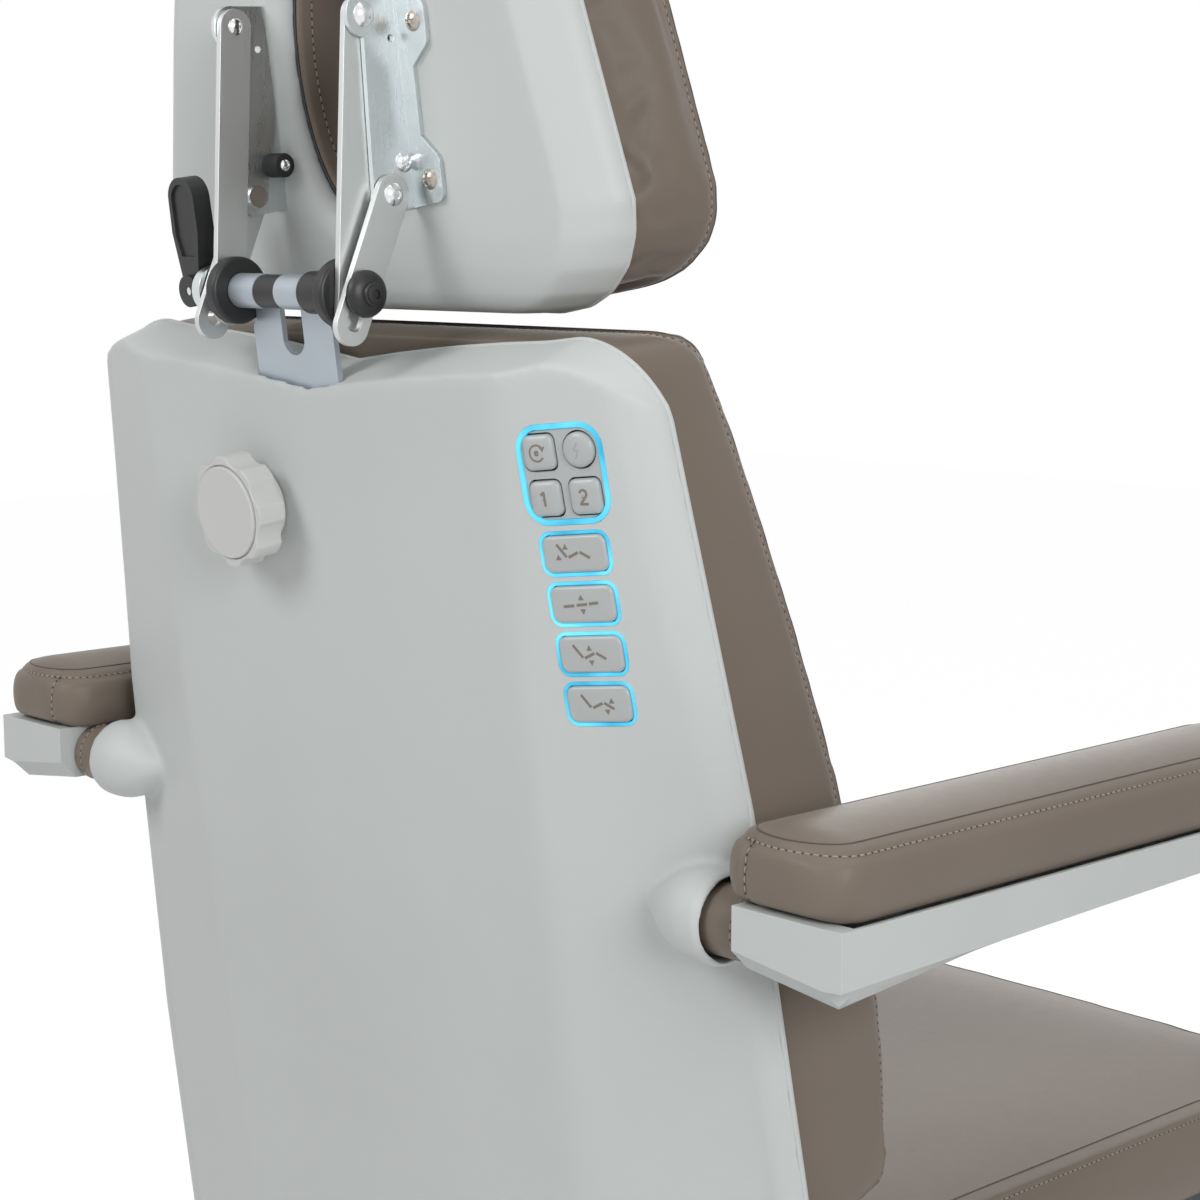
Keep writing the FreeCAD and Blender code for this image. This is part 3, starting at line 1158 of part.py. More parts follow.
for make in (base_frame, levelling_feet, base_cover, column_outer, lift_motor, control_box, power_inlet,
             column_inner, lift_rod, upper_shroud, seat_frame, hinge_pins, seat_cushion, seat_shell,
             tilt_actuator, tilt_rod, back_actuator, back_rod, leg_actuator, leg_rod, back_shell, back_frame,
             back_cushion, light_rings, keys, neck_guide, arm_shafts, arm_pads, arm_trays,
             arm_brackets, arm_rollers, clamp_knob, knob_cap, neck_fork, head_shaft, clamp_spacers, shaft_nut,
             head_arms, slot_links, head_brackets, bracket_fasteners, stop_bumper, clamp_lever,
             headrest_shell, headrest_cushion, leg_frame, leg_cushion, leg_shell):
    make()
doc.recompute()

faults = [part.Label for part in doc.Objects if {"Invalid", "Error"} & set(part.State)]
faults += [part.Label for part in sub_parts if part.Shape.isNull() or not part.Shape.isValid()]
if faults:
    raise RuntimeError("not built: " + ", ".join(faults))
os.makedirs("parts", exist_ok=True)
for part in sub_parts:
    part.Shape.exportStep(f"parts/{part.Label}.step")
print(len(sub_parts), "sub-parts")
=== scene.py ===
"""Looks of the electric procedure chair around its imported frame. Metres, +X the sitter's left, +Z up."""
import json
import math

import bmesh
import bpy
import numpy as np
from mathutils import Matrix, Vector
from mathutils.bvhtree import BVHTree
from mathutils.kdtree import KDTree


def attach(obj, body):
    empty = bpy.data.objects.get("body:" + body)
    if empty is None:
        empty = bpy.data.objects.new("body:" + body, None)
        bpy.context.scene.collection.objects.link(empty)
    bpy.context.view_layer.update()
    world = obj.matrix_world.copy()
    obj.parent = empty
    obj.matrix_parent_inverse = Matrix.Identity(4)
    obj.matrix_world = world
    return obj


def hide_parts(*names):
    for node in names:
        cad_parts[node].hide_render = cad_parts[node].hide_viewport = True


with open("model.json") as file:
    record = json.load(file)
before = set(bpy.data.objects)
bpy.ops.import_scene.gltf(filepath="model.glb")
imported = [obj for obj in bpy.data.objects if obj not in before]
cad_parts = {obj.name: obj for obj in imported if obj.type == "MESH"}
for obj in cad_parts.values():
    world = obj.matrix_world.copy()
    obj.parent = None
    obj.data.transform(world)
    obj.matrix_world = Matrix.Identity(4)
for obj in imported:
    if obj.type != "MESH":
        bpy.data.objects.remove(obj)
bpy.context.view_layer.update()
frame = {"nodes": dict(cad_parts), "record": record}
nodes = frame["nodes"]
scene = bpy.context.scene
MM = 0.001

# Frames of the moving parts at rest
RECLINE = math.radians(7.5)
LEG_HANG = math.radians(82)
BACK = Matrix.Translation((0, 0.255, 0.555)) @ Matrix.Rotation(-RECLINE, 4, "X")
LEG = Matrix.Translation((0, -0.245, 0.555)) @ Matrix.Rotation(LEG_HANG, 4, "X")
ARM = Matrix.Translation(BACK @ Vector((0, 0.025, 0.2985)))
FACET_TURN = math.radians(15)
PANEL = (BACK @ Matrix.Translation(Vector((-0.166, 0.044, 0.5305))
                                   + Vector((-math.cos(FACET_TURN), -math.sin(FACET_TURN), 0)) * 0.038)
         @ Matrix.Rotation(math.pi + FACET_TURN, 4, "Z") @ Matrix.Rotation(math.pi / 2, 4, "X")
         @ Matrix.Rotation(math.radians(4.2), 4, "Z"))


# Materials

class Surface:
    """A material with its Principled shader and short ways to add nodes to it."""

    def __init__(self, name, rough=0.5, metal=0.0, spec=0.5, coat=0.0, sheen=0.0):
        self.material = bpy.data.materials.new(name)
        self.material.use_nodes = True
        self.tree = self.material.node_tree
        self.shader = self.tree.nodes["Principled BSDF"]
        self.shader.inputs["Roughness"].default_value = rough
        self.shader.inputs["Metallic"].default_value = metal
        self.shader.inputs["Specular IOR Level"].default_value = spec
        self.shader.inputs["Coat Weight"].default_value = coat
        self.shader.inputs["Coat Roughness"].default_value = 0.25
        self.shader.inputs["Sheen Weight"].default_value = sheen
        self.shader.inputs["Sheen Roughness"].default_value = 0.4
        self.place = self.tree.nodes.new("ShaderNodeTexCoord").outputs["Object"]

    def add(self, kind, links=(), **values):
        node = self.tree.nodes.new("ShaderNode" + kind)
        for name, value in values.items():
            if hasattr(node, name):
                setattr(node, name, value)
            else:
                node.inputs[name.replace("_", " ")].default_value = value
        for socket, source in dict(links).items():
            self.tree.links.new(source, node.inputs[socket])
        return node

    def stretched(self, scale):
        return self.add("Mapping", {"Vector": self.place}, Scale=scale).outputs["Vector"]

    def noise(self, scale, detail=2.0, rough=0.5, place=None):
        return self.add("TexNoise", {"Vector": place or self.place}, Scale=scale, Detail=detail,
                        Roughness=rough).outputs["Fac"]

    def ramp(self, source, *stops):
        node = self.add("ValToRGB", {"Fac": source})
        for stop, (place, colour) in zip(node.color_ramp.elements, stops):
            stop.position = place
            stop.color = (*colour, 1)
        return node.outputs["Color"]

    def colour(self, source, *stops):
        self.tree.links.new(self.ramp(source, *stops), self.shader.inputs["Base Color"])

    def roughness(self, source, low, high):
        spread = self.add("MapRange", {"Value": source}, To_Min=low, To_Max=high)
        self.tree.links.new(spread.outputs["Result"], self.shader.inputs["Roughness"])

    def bump(self, *layers):
        """Bump layers, each as (height, strength, distance)."""
        normal = None
        for height, strength, distance in layers:
            links = {"Height": height} if normal is None else {"Height": height, "Normal": normal}
            normal = self.add("Bump", links, Strength=strength, Distance=distance).outputs["Normal"]
        self.tree.links.new(normal, self.shader.inputs["Normal"])

    def voronoi(self, scale, feature="F1"):
        node = self.add("TexVoronoi", {"Vector": self.place}, Scale=scale)
        node.feature = feature
        return node.outputs["Distance"]


def shades(colour, spread):
    """Two shades around a colour."""
    return tuple(c * (1 - spread) for c in colour), tuple(min(1, c * (1 + spread)) for c in colour)


def moulded(name, colour, rough, grain=900, depth=0.00012, spread=0.03, **more):
    """Moulded plastic with fine spark grain and a slightly uneven tone."""
    s = Surface(name, rough, **more)
    low, high = shades(colour, spread)
    s.colour(s.noise(3.5, 3), (0.35, low), (0.65, high))
    fine = s.noise(grain, 3, 0.6)
    s.roughness(fine, rough - 0.07, rough + 0.09)
    s.bump((fine, 0.35, depth))
    return s.material


def vinyl(name, colour, rough=0.42):
    """Smooth upholstery vinyl: fine pebble, faint stretch and tone."""
    s = Surface(name, rough, spec=0.16, sheen=0.03)
    low, high = shades(colour, 0.055)
    s.colour(s.noise(5, 4, 0.6), (0.3, low), (0.7, high))
    pebble = s.voronoi(1150, "SMOOTH_F1")
    s.roughness(s.noise(160, 3), rough - 0.05, rough + 0.07)
    s.bump((pebble, 0.22, 0.00016), (s.noise(28, 3), 0.10, 0.0012))
    return s.material


def sheet_metal(name, colour, rough, stretch=(1, 1, 1), grain=700, spread=0.05, metal=1.0, depth=0.00003):
    """Metal with a directed grain and a cloudy tone."""
    s = Surface(name, rough, metal=metal)
    low, high = shades(colour, spread)
    lines = s.noise(grain, 4, 0.65, s.stretched(stretch))
    s.colour(s.noise(22, 4), (0.3, low), (0.7, high))
    s.roughness(lines, rough - 0.07, rough + 0.1)
    s.bump((lines, 0.25, depth))
    return s.material


def lit_ring(name):
    """Light guide that glows, its tone and glow varying in patches."""
    s = Surface(name, 0.3, spec=0.4)
    tone = s.noise(38, 1)
    s.colour(tone, (0.3, (0.03, 0.30, 0.46)), (0.7, (0.16, 0.62, 0.80)))
    glow = s.ramp(tone, (0.3, (0.02, 0.36, 0.60)), (0.7, (0.12, 0.70, 0.95)))
    s.tree.links.new(glow, s.shader.inputs["Emission Color"])
    s.shader.inputs["Emission Strength"].default_value = 0.62
    return s.material


SHELL = moulded("shell_plastic", (0.605, 0.632, 0.622), 0.5, spec=0.4)
VINYL = vinyl("taupe_vinyl", (0.208, 0.171, 0.139))
THREAD = moulded("stitch_thread", (0.36, 0.315, 0.265), 0.7, 2600, 0.0001, 0.1)
# Near-black discs of painted shade, standing for the shade inside the needle holes
HOLE_SHADE = moulded("needle_hole_painted_shade", (0.035, 0.03, 0.026), 0.8, 1500, 0.0001, 0.1)
# Darker vinyl for the tube along the cushions' folded edges: painted shade in the crease
FOLD_SHADE = vinyl("seam_fold_painted_shade", (0.115, 0.096, 0.08), 0.5)
FRAME_PAINT = moulded("frame_paint", (0.05, 0.053, 0.057), 0.45, 1300, 0.0001, 0.06)
COLUMN_PAINT = moulded("column_paint", (0.46, 0.48, 0.49), 0.38, 1100, 0.00008, 0.03)
ZINC = sheet_metal("bright_zinc", (0.66, 0.70, 0.71), 0.27, (1, 1, 0.12), 240, 0.07)
SATIN = sheet_metal("satin_metal", (0.60, 0.615, 0.61), 0.42, (1, 1, 0.05), 900, 0.03)
FORK = sheet_metal("fork_paint", (0.45, 0.50, 0.55), 0.36, (1, 1, 1), 900, 0.03, 0.55)
CHROME = sheet_metal("rod_chrome", (0.78, 0.79, 0.80), 0.12, (1, 1, 1), 300, 0.03)
SCREW = sheet_metal("screw_nickel", (0.46, 0.42, 0.37), 0.28, (1, 1, 1), 500, 0.08)
DRIVE = moulded("drive_plastic", (0.03, 0.03, 0.032), 0.5, 1000, 0.00015, 0.1)
BLACK = moulded("black_plastic", (0.013, 0.013, 0.014), 0.42, 1400, 0.0001, 0.15)
RUBBER = moulded("black_rubber", (0.012, 0.012, 0.012), 0.62, 700, 0.0001, 0.2)
KNOB = moulded("knob_plastic", (0.63, 0.635, 0.615), 0.42, 1200, 0.00008, 0.02)
KEY = moulded("key_plastic", (0.47, 0.49, 0.488), 0.3, 1600, 0.00004, 0.02, coat=0.15)
MARK = moulded("key_mark", (0.21, 0.185, 0.155), 0.5, 1500, 0.00003, 0.08)
FAINT = moulded("faint_mark", (0.37, 0.38, 0.375), 0.4, 1500, 0.00003, 0.05)
# Near-black painted shade: the floor seen through the gaps round the keys, and the cord in the joint round
# the face opening's sleeve
GAP_SHADE = moulded("key_gap", (0.05, 0.053, 0.055), 0.6, 1500, 0.00003, 0.1)
RING = lit_ring("ring_light")

LOOKS = {
    "shell_plastic": SHELL, "vinyl": VINYL, "frame_paint": FRAME_PAINT, "column_paint": COLUMN_PAINT,
    "zinc": ZINC, "satin_metal": SATIN, "fork_paint": FORK, "rod_chrome": CHROME, "drive_plastic": DRIVE,
    "black_plastic": BLACK, "rubber": RUBBER, "knob_plastic": KNOB, "key_plastic": KEY, "ring_light": RING,
    "roller_plastic": VINYL,
}

# Bevel of the carried-over nodes: width in millimetres, where the default doesn't suit
SOFTEN = {"arm_tray_left": 1.8, "arm_tray_right": 1.8, "base_cover": 5.0, "seat_shell": 3.0, "leg_shell": 3.0,
          "upper_shroud": 1.2, "clamp_lever": 1.6, "head_brackets": 0.6, "neck_fork": 1.2, "clamp_knob": 1.4,
          "light_rings": 0.25, "knob_cap": 0.3, "head_arms": 0.5, "slot_links": 0.5}


def dress(node, slot):
    """Give a carried-over node its material, softened edges and smooth shading."""
    piece = nodes[node]
    piece.data.materials.clear()
    piece.data.materials.append(LOOKS[slot])
    weld = piece.modifiers.new("weld", "WELD")
    weld.merge_threshold = 1e-5
    flats = piece.modifiers.new("flats", "DECIMATE")
    flats.decimate_type = "DISSOLVE"
    flats.angle_limit = math.radians(0.6)
    bevel = piece.modifiers.new("soften", "BEVEL")
    bevel.width = SOFTEN.get(node, 0.8) * MM
    bevel.segments = 3
    bevel.limit_method = "ANGLE"
    bevel.angle_limit = math.radians(28)
    smooth = piece.modifiers.new("normals", "WEIGHTED_NORMAL")
    smooth.keep_sharp = True
    for face in piece.data.polygons:
        face.use_smooth = True


for part in frame["record"]["subparts"]:
    dress(part["node"], part["material_slot"])


# Mesh helpers

def piece_from(name, vertices, faces, material, body, smooth=True):
    """A new piece that rides on a body."""
    mesh = bpy.data.meshes.new(name)
    mesh.from_pydata([tuple(v) for v in vertices], [], faces)
    mesh.validate()
    piece = bpy.data.objects.new(name, mesh)
    scene.collection.objects.link(piece)
    for each in material if isinstance(material, tuple) else (material,):
        mesh.materials.append(each)
    for face in mesh.polygons:
        face.use_smooth = smooth
    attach(piece, body)
    return piece


def circle(count):
    """Cosines and sines of even steps around a turn."""
    turns = (2 * math.pi * i / count for i in range(count))
    return [(math.cos(a), math.sin(a)) for a in turns]


class Build:
    """Vertices and faces of one piece, gathered from several shapes."""

    def __init__(self):
        self.vertices, self.faces, self.kinds = [], [], []

    def add(self, vertices, faces, kind=0):
        start = len(self.vertices)
        self.vertices += [Vector(v) for v in vertices]
        self.faces += [[start + i for i in face] for face in faces]
        self.kinds += [kind] * len(faces)

    def join(self, other, shift):
        """Take over another build's shapes, their kinds moved up."""
        start = len(self.vertices)
        self.vertices += other.vertices
        self.faces += [[start + i for i in face] for face in other.faces]
        self.kinds += [kind + shift for kind in other.kinds]

    def rings(self, rings, caps=True, kind=0):
        """Skin equal rings of points, with the ends closed or else the last ring joined to the first."""
        count = len(rings[0])
        points = [p for ring in rings for p in ring]
        faces = []
        for row in range(len(rings) - 1 if caps else len(rings)):
            here, there = row * count, (row + 1) % len(rings) * count
            for i in range(count):
                after = (i + 1) % count
                faces.append([here + i, here + after, there + after, there + i])
        if caps:
            faces += [list(range(count))[::-1], [len(points) - count + i for i in range(count)]]
        self.add(points, faces, kind)

    def lathe(self, matrix, profile, sides=40, kind=0, hollow=False):
        """Turn a profile of (radius, height) about the matrix's z axis. A hollow one is a closed loop."""
        rings = [[matrix @ Vector((radius * c, radius * s, height)) for c, s in circle(sides)]
                 for radius, height in profile]
        self.rings(rings, caps=not hollow, kind=kind)

    def prism(self, matrix, outline, low, high, kind=0):
        """An upright prism on an outline in the matrix's xy plane."""
        self.rings([[matrix @ Vector((x, y, z)) for x, y in outline] for z in (low, high)], kind=kind)

    def head(self, matrix, radius, crown, recess=None, depth=0.0012, kind=0, rows=14, sides=48):
        """A fastener's round head, crowned, with the recess that recess(u, v) describes in radii."""
        rings = []
        for row in range(rows + 1):
            share = max(0.02, row / rows)
            ring = []
            for c, s in circle(sides):
                u, v = share * c, share * s
                height = crown * (1 - share ** 2.6) + 0.0004
                height -= depth if recess and recess(u, v) else 0
                ring.append(matrix @ Vector((u * radius, v * radius, height)))
            rings.append(ring)
        rings.append([matrix @ Vector((radius * c, radius * s, -0.0006)) for c, s in circle(sides)])
        self.rings(rings, kind=kind)

    def tube(self, points, radius, sides=8, closed=False, kind=0):
        """A round tube along points."""
        rings = []
        side = None
        for i, point in enumerate(points):
            before = points[i - 1] if i or closed else point
            after = points[(i + 1) % len(points)] if i + 1 < len(points) or closed else point
            along = (Vector(after) - Vector(before)).normalized()
            side = along.orthogonal() if side is None else side - along * side.dot(along)
            side.normalize()
            up = along.cross(side)
            rings.append([Vector(point) + (side * c + up * s) * radius for c, s in circle(sides)])
        self.rings(rings, caps=not closed, kind=kind)

    def piece(self, name, material, body, slot, smooth=True):
        """The gathered shapes as a piece, each kind with its own material."""
        piece = piece_from(name, self.vertices, self.faces, material, body, smooth)
        if len(piece.data.polygons) == len(self.kinds):
            piece.data.polygons.foreach_set("material_index", self.kinds)
        tidy_normals(piece)
        return piece


def tidy_normals(piece):
    """Turn every face outward."""
    work = bmesh.new()
    work.from_mesh(piece.data)
    bmesh.ops.recalc_face_normals(work, faces=work.faces)
    work.to_mesh(piece.data)
    work.free()


def rounded(half_x, half_y, corner, steps=8, x=0.0, y=0.0):
    """Points of a rounded rectangle, anticlockwise."""
    points = []
    for quarter, (sx, sy) in enumerate(((1, 1), (-1, 1), (-1, -1), (1, -1))):
        for i in range(steps + 1):
            a = math.pi / 2 * (quarter + i / steps)
            points.append((x + sx * (half_x - corner) + corner * math.cos(a),
                           y + sy * (half_y - corner) + corner * math.sin(a)))
    return points


def even(points, step, closed=True):
    """Resample a line evenly."""
    line = [Vector(p) for p in points]
    if closed:
        line.append(line[0])
    lengths = [0.0]
    for a, b in zip(line, line[1:]):
        lengths.append(lengths[-1] + (b - a).length)
    count = max(4, round(lengths[-1] / step))
    result, k = [], 0
    for i in range(count if closed else count + 1):
        at = lengths[-1] * i / count
        while k < len(line) - 2 and lengths[k + 1] < at:
            k += 1
        t = (at - lengths[k]) / max(1e-12, lengths[k + 1] - lengths[k])
        result.append(line[k].lerp(line[k + 1], t))
    return result


# Cushions: the solid's form, remeshed, drawn in and blown up against its sewn lines

def evaluated(piece):
    """The piece's mesh with its modifiers applied."""
    return bpy.data.meshes.new_from_object(piece.evaluated_get(bpy.context.evaluated_depsgraph_get()))


def apply(piece):
    """Make a piece's modifiers part of its mesh."""
    mesh = evaluated(piece)
    piece.modifiers.clear()
    old, piece.data = piece.data, mesh
    bpy.data.meshes.remove(old)


def coordinates(mesh):
    flat = np.zeros(len(mesh.vertices) * 3)
    mesh.vertices.foreach_get("co", flat)
    return flat.reshape(-1, 3)


def normals(mesh):
    flat = np.zeros(len(mesh.vertices) * 3)
    mesh.vertices.foreach_get("normal", flat)
    return flat.reshape(-1, 3)


def move_to(mesh, places):
    mesh.vertices.foreach_set("co", np.ascontiguousarray(places, dtype=float).ravel())
    mesh.update()


def relaxed(node, name, voxel, soft, axes=Matrix(), trim=None, plugs=None):
    """A copy of a solid, remeshed evenly along a frame's axes and with its creases softened.
    It may be trimmed behind a plane (point, normal) first, and have plugs added to it."""
    work = bmesh.new()
    work.from_mesh(nodes[node].data)
    bmesh.ops.remove_doubles(work, verts=work.verts, dist=1e-5)
    if trim:
        bmesh.ops.bisect_plane(work, geom=work.verts[:] + work.edges[:] + work.faces[:], plane_co=trim[0],
                               plane_no=trim[1], clear_outer=True)
        bmesh.ops.triangle_fill(work, edges=[e for e in work.edges if e.is_boundary], use_beauty=True)
    if plugs:
        points = [work.verts.new(v) for v in plugs.vertices]
        for face in plugs.faces:
            work.faces.new([points[i] for i in face])
    bmesh.ops.recalc_face_normals(work, faces=work.faces)
    bmesh.ops.transform(work, matrix=axes.inverted(), verts=work.verts)
    mesh = bpy.data.meshes.new(name)
    work.to_mesh(mesh)
    work.free()
    piece = bpy.data.objects.new(name, mesh)
    scene.collection.objects.link(piece)
    remesh = piece.modifiers.new("remesh", "REMESH")
    remesh.mode = "VOXEL"
    remesh.voxel_size = voxel
    rounding = piece.modifiers.new("smooth", "SMOOTH")
    rounding.factor = 0.5
    rounding.iterations = soft
    apply(piece)
    piece.data.transform(axes)
    return piece


def true_rim(piece, node, height, blend=0.006):
    """Lay a softened shell back on its solid up to a depth of the back's frame, so that its rim is true."""
    depth = np.array(BACK.inverted())[1]
    level = coordinates(piece.data) @ depth[:3] + depth[3]
    group = piece.vertex_groups.new(name="rim")
    for i, share in enumerate(np.clip((height - level) / blend, 0, 1)):
        if share > 0:
            group.add([i], float(share), "REPLACE")
    wrap = piece.modifiers.new("rim", "SHRINKWRAP")
    wrap.target = nodes[node]
    wrap.wrap_method = "NEAREST_SURFACEPOINT"
    wrap.vertex_group = group.name
    ease = piece.modifiers.new("ease", "SMOOTH")
    ease.factor = 0.4
    ease.iterations = 2
    apply(piece)
    return piece


def foam(node, name, voxel, draw_in, cap, held, soft, axes, trim):
    """Copy a soft solid and blow it up as cloth, held where `held` says so. Gives the new piece."""
    pad = relaxed(node, name, voxel, soft, axes, trim)
    start = coordinates(pad.data) - normals(pad.data) * draw_in
    move_to(pad.data, start)
    blow_up(pad, start, cap, held(start))
    divide = pad.modifiers.new("divide", "SUBSURF")
    divide.levels = divide.render_levels = 1
    apply(pad)
    return pad


CLOTH_FRAMES = 20


def blow_up(pad, start, cap, pins):
    """Run the cloth under pressure and keep its shape, no point moving further than the cap."""
    group = pad.vertex_groups.new(name="held")
    for index in np.nonzero(pins > 0.01)[0]:
        group.add([int(index)], float(pins[index]), "REPLACE")
    cloth = pad.modifiers.new("cloth", "CLOTH")
    settings = cloth.settings
    settings.quality = 4
    settings.mass = 0.3
    settings.tension_stiffness = settings.compression_stiffness = 12
    settings.shear_stiffness = 6
    settings.bending_stiffness = 0.8
    settings.use_pressure = True
    settings.uniform_pressure_force = 4
    settings.effector_weights.gravity = 0
    settings.vertex_group_mass = "held"
    cloth.point_cache.frame_start = 1
    cloth.point_cache.frame_end = CLOTH_FRAMES
    for number in range(1, CLOTH_FRAMES + 1):
        scene.frame_set(number)
    blown = evaluated(pad)
    shift = coordinates(blown) - start
    far = np.linalg.norm(shift, axis=1, keepdims=True)
    shift *= np.minimum(1, cap / np.maximum(far, 1e-9))
    pad.modifiers.clear()
    pad.vertex_groups.clear()
    move_to(pad.data, start + shift)
    bpy.data.meshes.remove(blown)
    scene.frame_set(1)


def surface_line(pad, place, outline, level, step=0.002):
    """Where an outline of (a, b) around a pad meets its surface, with the surface normals.
    place(a, b, level) turns outline coordinates into the frame; level may depend on (a, b)."""
    tree = BVHTree.FromObject(pad, bpy.context.evaluated_depsgraph_get())
    ring = even([Vector((*p, 0)) for p in outline], step)
    points, ways = [], []
    for i, here in enumerate(ring):
        along = (ring[(i + 3) % len(ring)] - ring[i - 3]).normalized()
        out = Vector((along.y, -along.x, 0))
        height = level(here.x, here.y)
        far = place(here.x + out.x * 0.06, here.y + out.y * 0.06, height)
        near = place(here.x - out.x * 0.04, here.y - out.y * 0.04, height)
        hit, normal, _, _ = tree.ray_cast(far, (near - far).normalized())
        if hit is not None:
            points.append(hit)
            ways.append(normal)
    return points, ways


def sink(pad, points, depth, spread):
    """Draw the surface in along a sewn line."""
    tree = KDTree(len(points))
    for i, point in enumerate(points):
        tree.insert(point, i)
    tree.balance()
    places, ways = coordinates(pad.data), normals(pad.data)
    for i, place in enumerate(places):
        _, _, far = tree.find(place)
        if far < spread * 3:
            places[i] = place - ways[i] * depth * math.exp(-(far / spread) ** 2)
    move_to(pad.data, places)


# A stitch from end to end: place along it, width and depth below its crest, both in thread radii
STITCH = ((0, 0.35, 0.9), (0.12, 0.8, 0.35), (0.5, 1, 0), (0.88, 0.8, 0.35), (1, 0.35, 0.9))


def stitches(build, points, ways, closed=True, pitch=0.0048, length=0.0031, radius=0.00048, lift=0.0001):
    """Thread stitches along a line on a surface, with dark discs of painted shade at their needle holes."""
    ring = points + points[:1] if closed else points
    turn = ways + ways[:1] if closed else ways
    lengths = [0.0]
    for a, b in zip(ring, ring[1:]):
        lengths.append(lengths[-1] + (b - a).length)

    def at(distance):
        k = min(int(np.searchsorted(lengths, distance)), len(ring) - 1)
        k = max(1, k)
        t = (distance - lengths[k - 1]) / max(1e-9, lengths[k] - lengths[k - 1])
        return ring[k - 1].lerp(ring[k], t), turn[k - 1].lerp(turn[k], t).normalized()

    count = int(lengths[-1] / pitch)
    for i in range(count):
        middle = (i + 0.5) * lengths[-1] / count
        a, way = at(middle - length / 2)
        b, _ = at(middle + length / 2)
        a, b = a + way * lift, b + way * lift
        along = (b - a).normalized()
        across = along.cross(way).normalized()
        rings = []
        for t, wide, dip in STITCH:
            centre = a.lerp(b, t) - way * radius * dip
            rings.append([centre + (across * math.cos(q) + way * math.sin(q)) * radius * wide
                          for q in (math.pi / 3 * k for k in range(6))])
        build.rings(rings)
        # Needle hole: a dark disc just off the surface, painted shade of the hole
        dot, out = at(min(lengths[-1], middle + pitch / 2))
        across = along.cross(out).normalized()
        disc = [dot + out * 0.00008 + (along * math.cos(q) + across * math.sin(q)) * 0.00055
                for q in (math.pi / 4 * k for k in range(8))]
        rim = [[k, 8 + k, 8 + (k + 1) % 8, (k + 1) % 8] for k in range(8)]
        build.add(disc + [p - out * 0.0006 for p in disc], [list(range(8)), list(range(15, 7, -1))] + rim, 1)


def near_line(line, reach):
    """Weights that hold the points close to a line."""
    tree = KDTree(len(line))
    for i, point in enumerate(line):
        tree.insert(point, i)
    tree.balance()

    def held(places):
        return np.array([1.0 if tree.find(p)[2] < reach else 0.0 for p in places])
    return held


# Sewn lines: how far the thread holds the cover, how deep and wide it draws it in, and the radius of the dark
# tube of painted shade in the folded edge's crease
SEWN_REACH, SEAM_DEPTH, SEAM_SPREAD, FOLD_SHADE_RADIUS = 0.009, 0.0014, 0.0034, 0.00055


def upholster(node, name, body, place, outline, stitch_level, fold_level, rest, voxel=0.006, draw_in=0.004,
              cap=0.012, soft=6, extra=None, axes=Matrix(), trim=None, lower=0.0):
    """One cushion with its sewn line, and a dark tube of painted crease shade along its folded edge.
    rest(places) says which points lie on their board.
    """
    ring = even([Vector((*q, 0)) for q in outline], 0.004)
    sewn = near_line([place(p.x, p.y, stitch_level(p.x, p.y)) for p in ring], SEWN_REACH)

    def held(places):
        return np.maximum(sewn(places), rest(places))

    pad = foam(node, name, voxel, draw_in, cap, held, soft, axes, trim)
    move_to(pad.data, coordinates(pad.data) - np.array((0, 0, lower)))
    build = Build()
    points, _ = surface_line(pad, place, outline, stitch_level)
    sink(pad, points, SEAM_DEPTH, SEAM_SPREAD)
    points, ways = surface_line(pad, place, outline, stitch_level)
    stitches(build, points, ways)
    # A dark tube along the folded edge paints the shade in its crease
    fold_shade_line, _ = surface_line(pad, place, outline, fold_level)
    build.tube(fold_shade_line[::2], FOLD_SHADE_RADIUS, 6, closed=True, kind=2)
    if extra:
        extra(pad, build)
    for face in pad.data.polygons:
        face.use_smooth = True
    pad.data.materials.clear()
    pad.data.materials.append(VINYL)
    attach(pad, body)
    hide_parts(node)
    build.piece(name + "_stitches", (THREAD, HOLE_SHADE, FOLD_SHADE), body, "vinyl")


def flat_place(x, y, z):
    return Vector((x, y, z))


def leg_place(x, y, z):
    return LEG @ Vector((x, y, z))


def arm_place(x, y, z):
    return ARM @ Vector((x, y, z))


def back_place(x, z, y):
    return BACK @ Vector((x, y, z))


def local_height(matrix, axis, limit):
    """Which points rest on a board: those below a limit along a frame's z, or behind it along its y."""
    inverse = np.array(matrix.inverted())

    def rest(places):
        value = places @ inverse[axis, :3] + inverse[axis, 3]
        return (value < limit if axis == 2 else value > limit).astype(float)
    return rest


SEAT = rounded(0.296, 0.262, 0.02, y=-0.009)
upholster("seat_cushion", "seat_pad", "seat", flat_place, SEAT, lambda x, y: 0.6345, lambda x, y: 0.6395,
          local_height(Matrix(), 2, 0.584))
LEG_OUTLINE = rounded(0.294, 0.208, 0.02, y=-0.251)
upholster("leg_cushion", "leg_pad", "leg", leg_place, LEG_OUTLINE, lambda x, y: 0.0805, lambda x, y: 0.0855,
          local_height(LEG, 2, 0.024))

# Back pad: height, half width and front face in millimetres
BACK_PAD = ((100, 287, -70), (109, 299, -87), (120, 302, -92), (218, 302, -93), (270, 295, -93),
            (348, 282, -92), (428, 264, -88), (515, 245, -80), (577, 231, -72), (588, 226, -69),
            (597, 212, -56))


def side_outline(levels):
    """Outline of a pad's side faces, as (x, z)."""
    right = [(half * MM, z * MM) for z, half, _ in levels]
    return right + [(-x, z) for x, z in reversed(right)]


def front_at(levels, offset):
    """Depth of a pad's front face at a height, moved back by an offset."""
    heights = [z * MM for z, _, _ in levels]
    fronts = [front * MM for _, _, front in levels]
    return lambda x, z: float(np.interp(z, heights, fronts)) + offset


upholster("back_cushion", "back_pad", "back", back_place, side_outline(BACK_PAD), front_at(BACK_PAD, 0.016),
          front_at(BACK_PAD, 0.0115), local_height(BACK, 1, -0.004), axes=BACK)

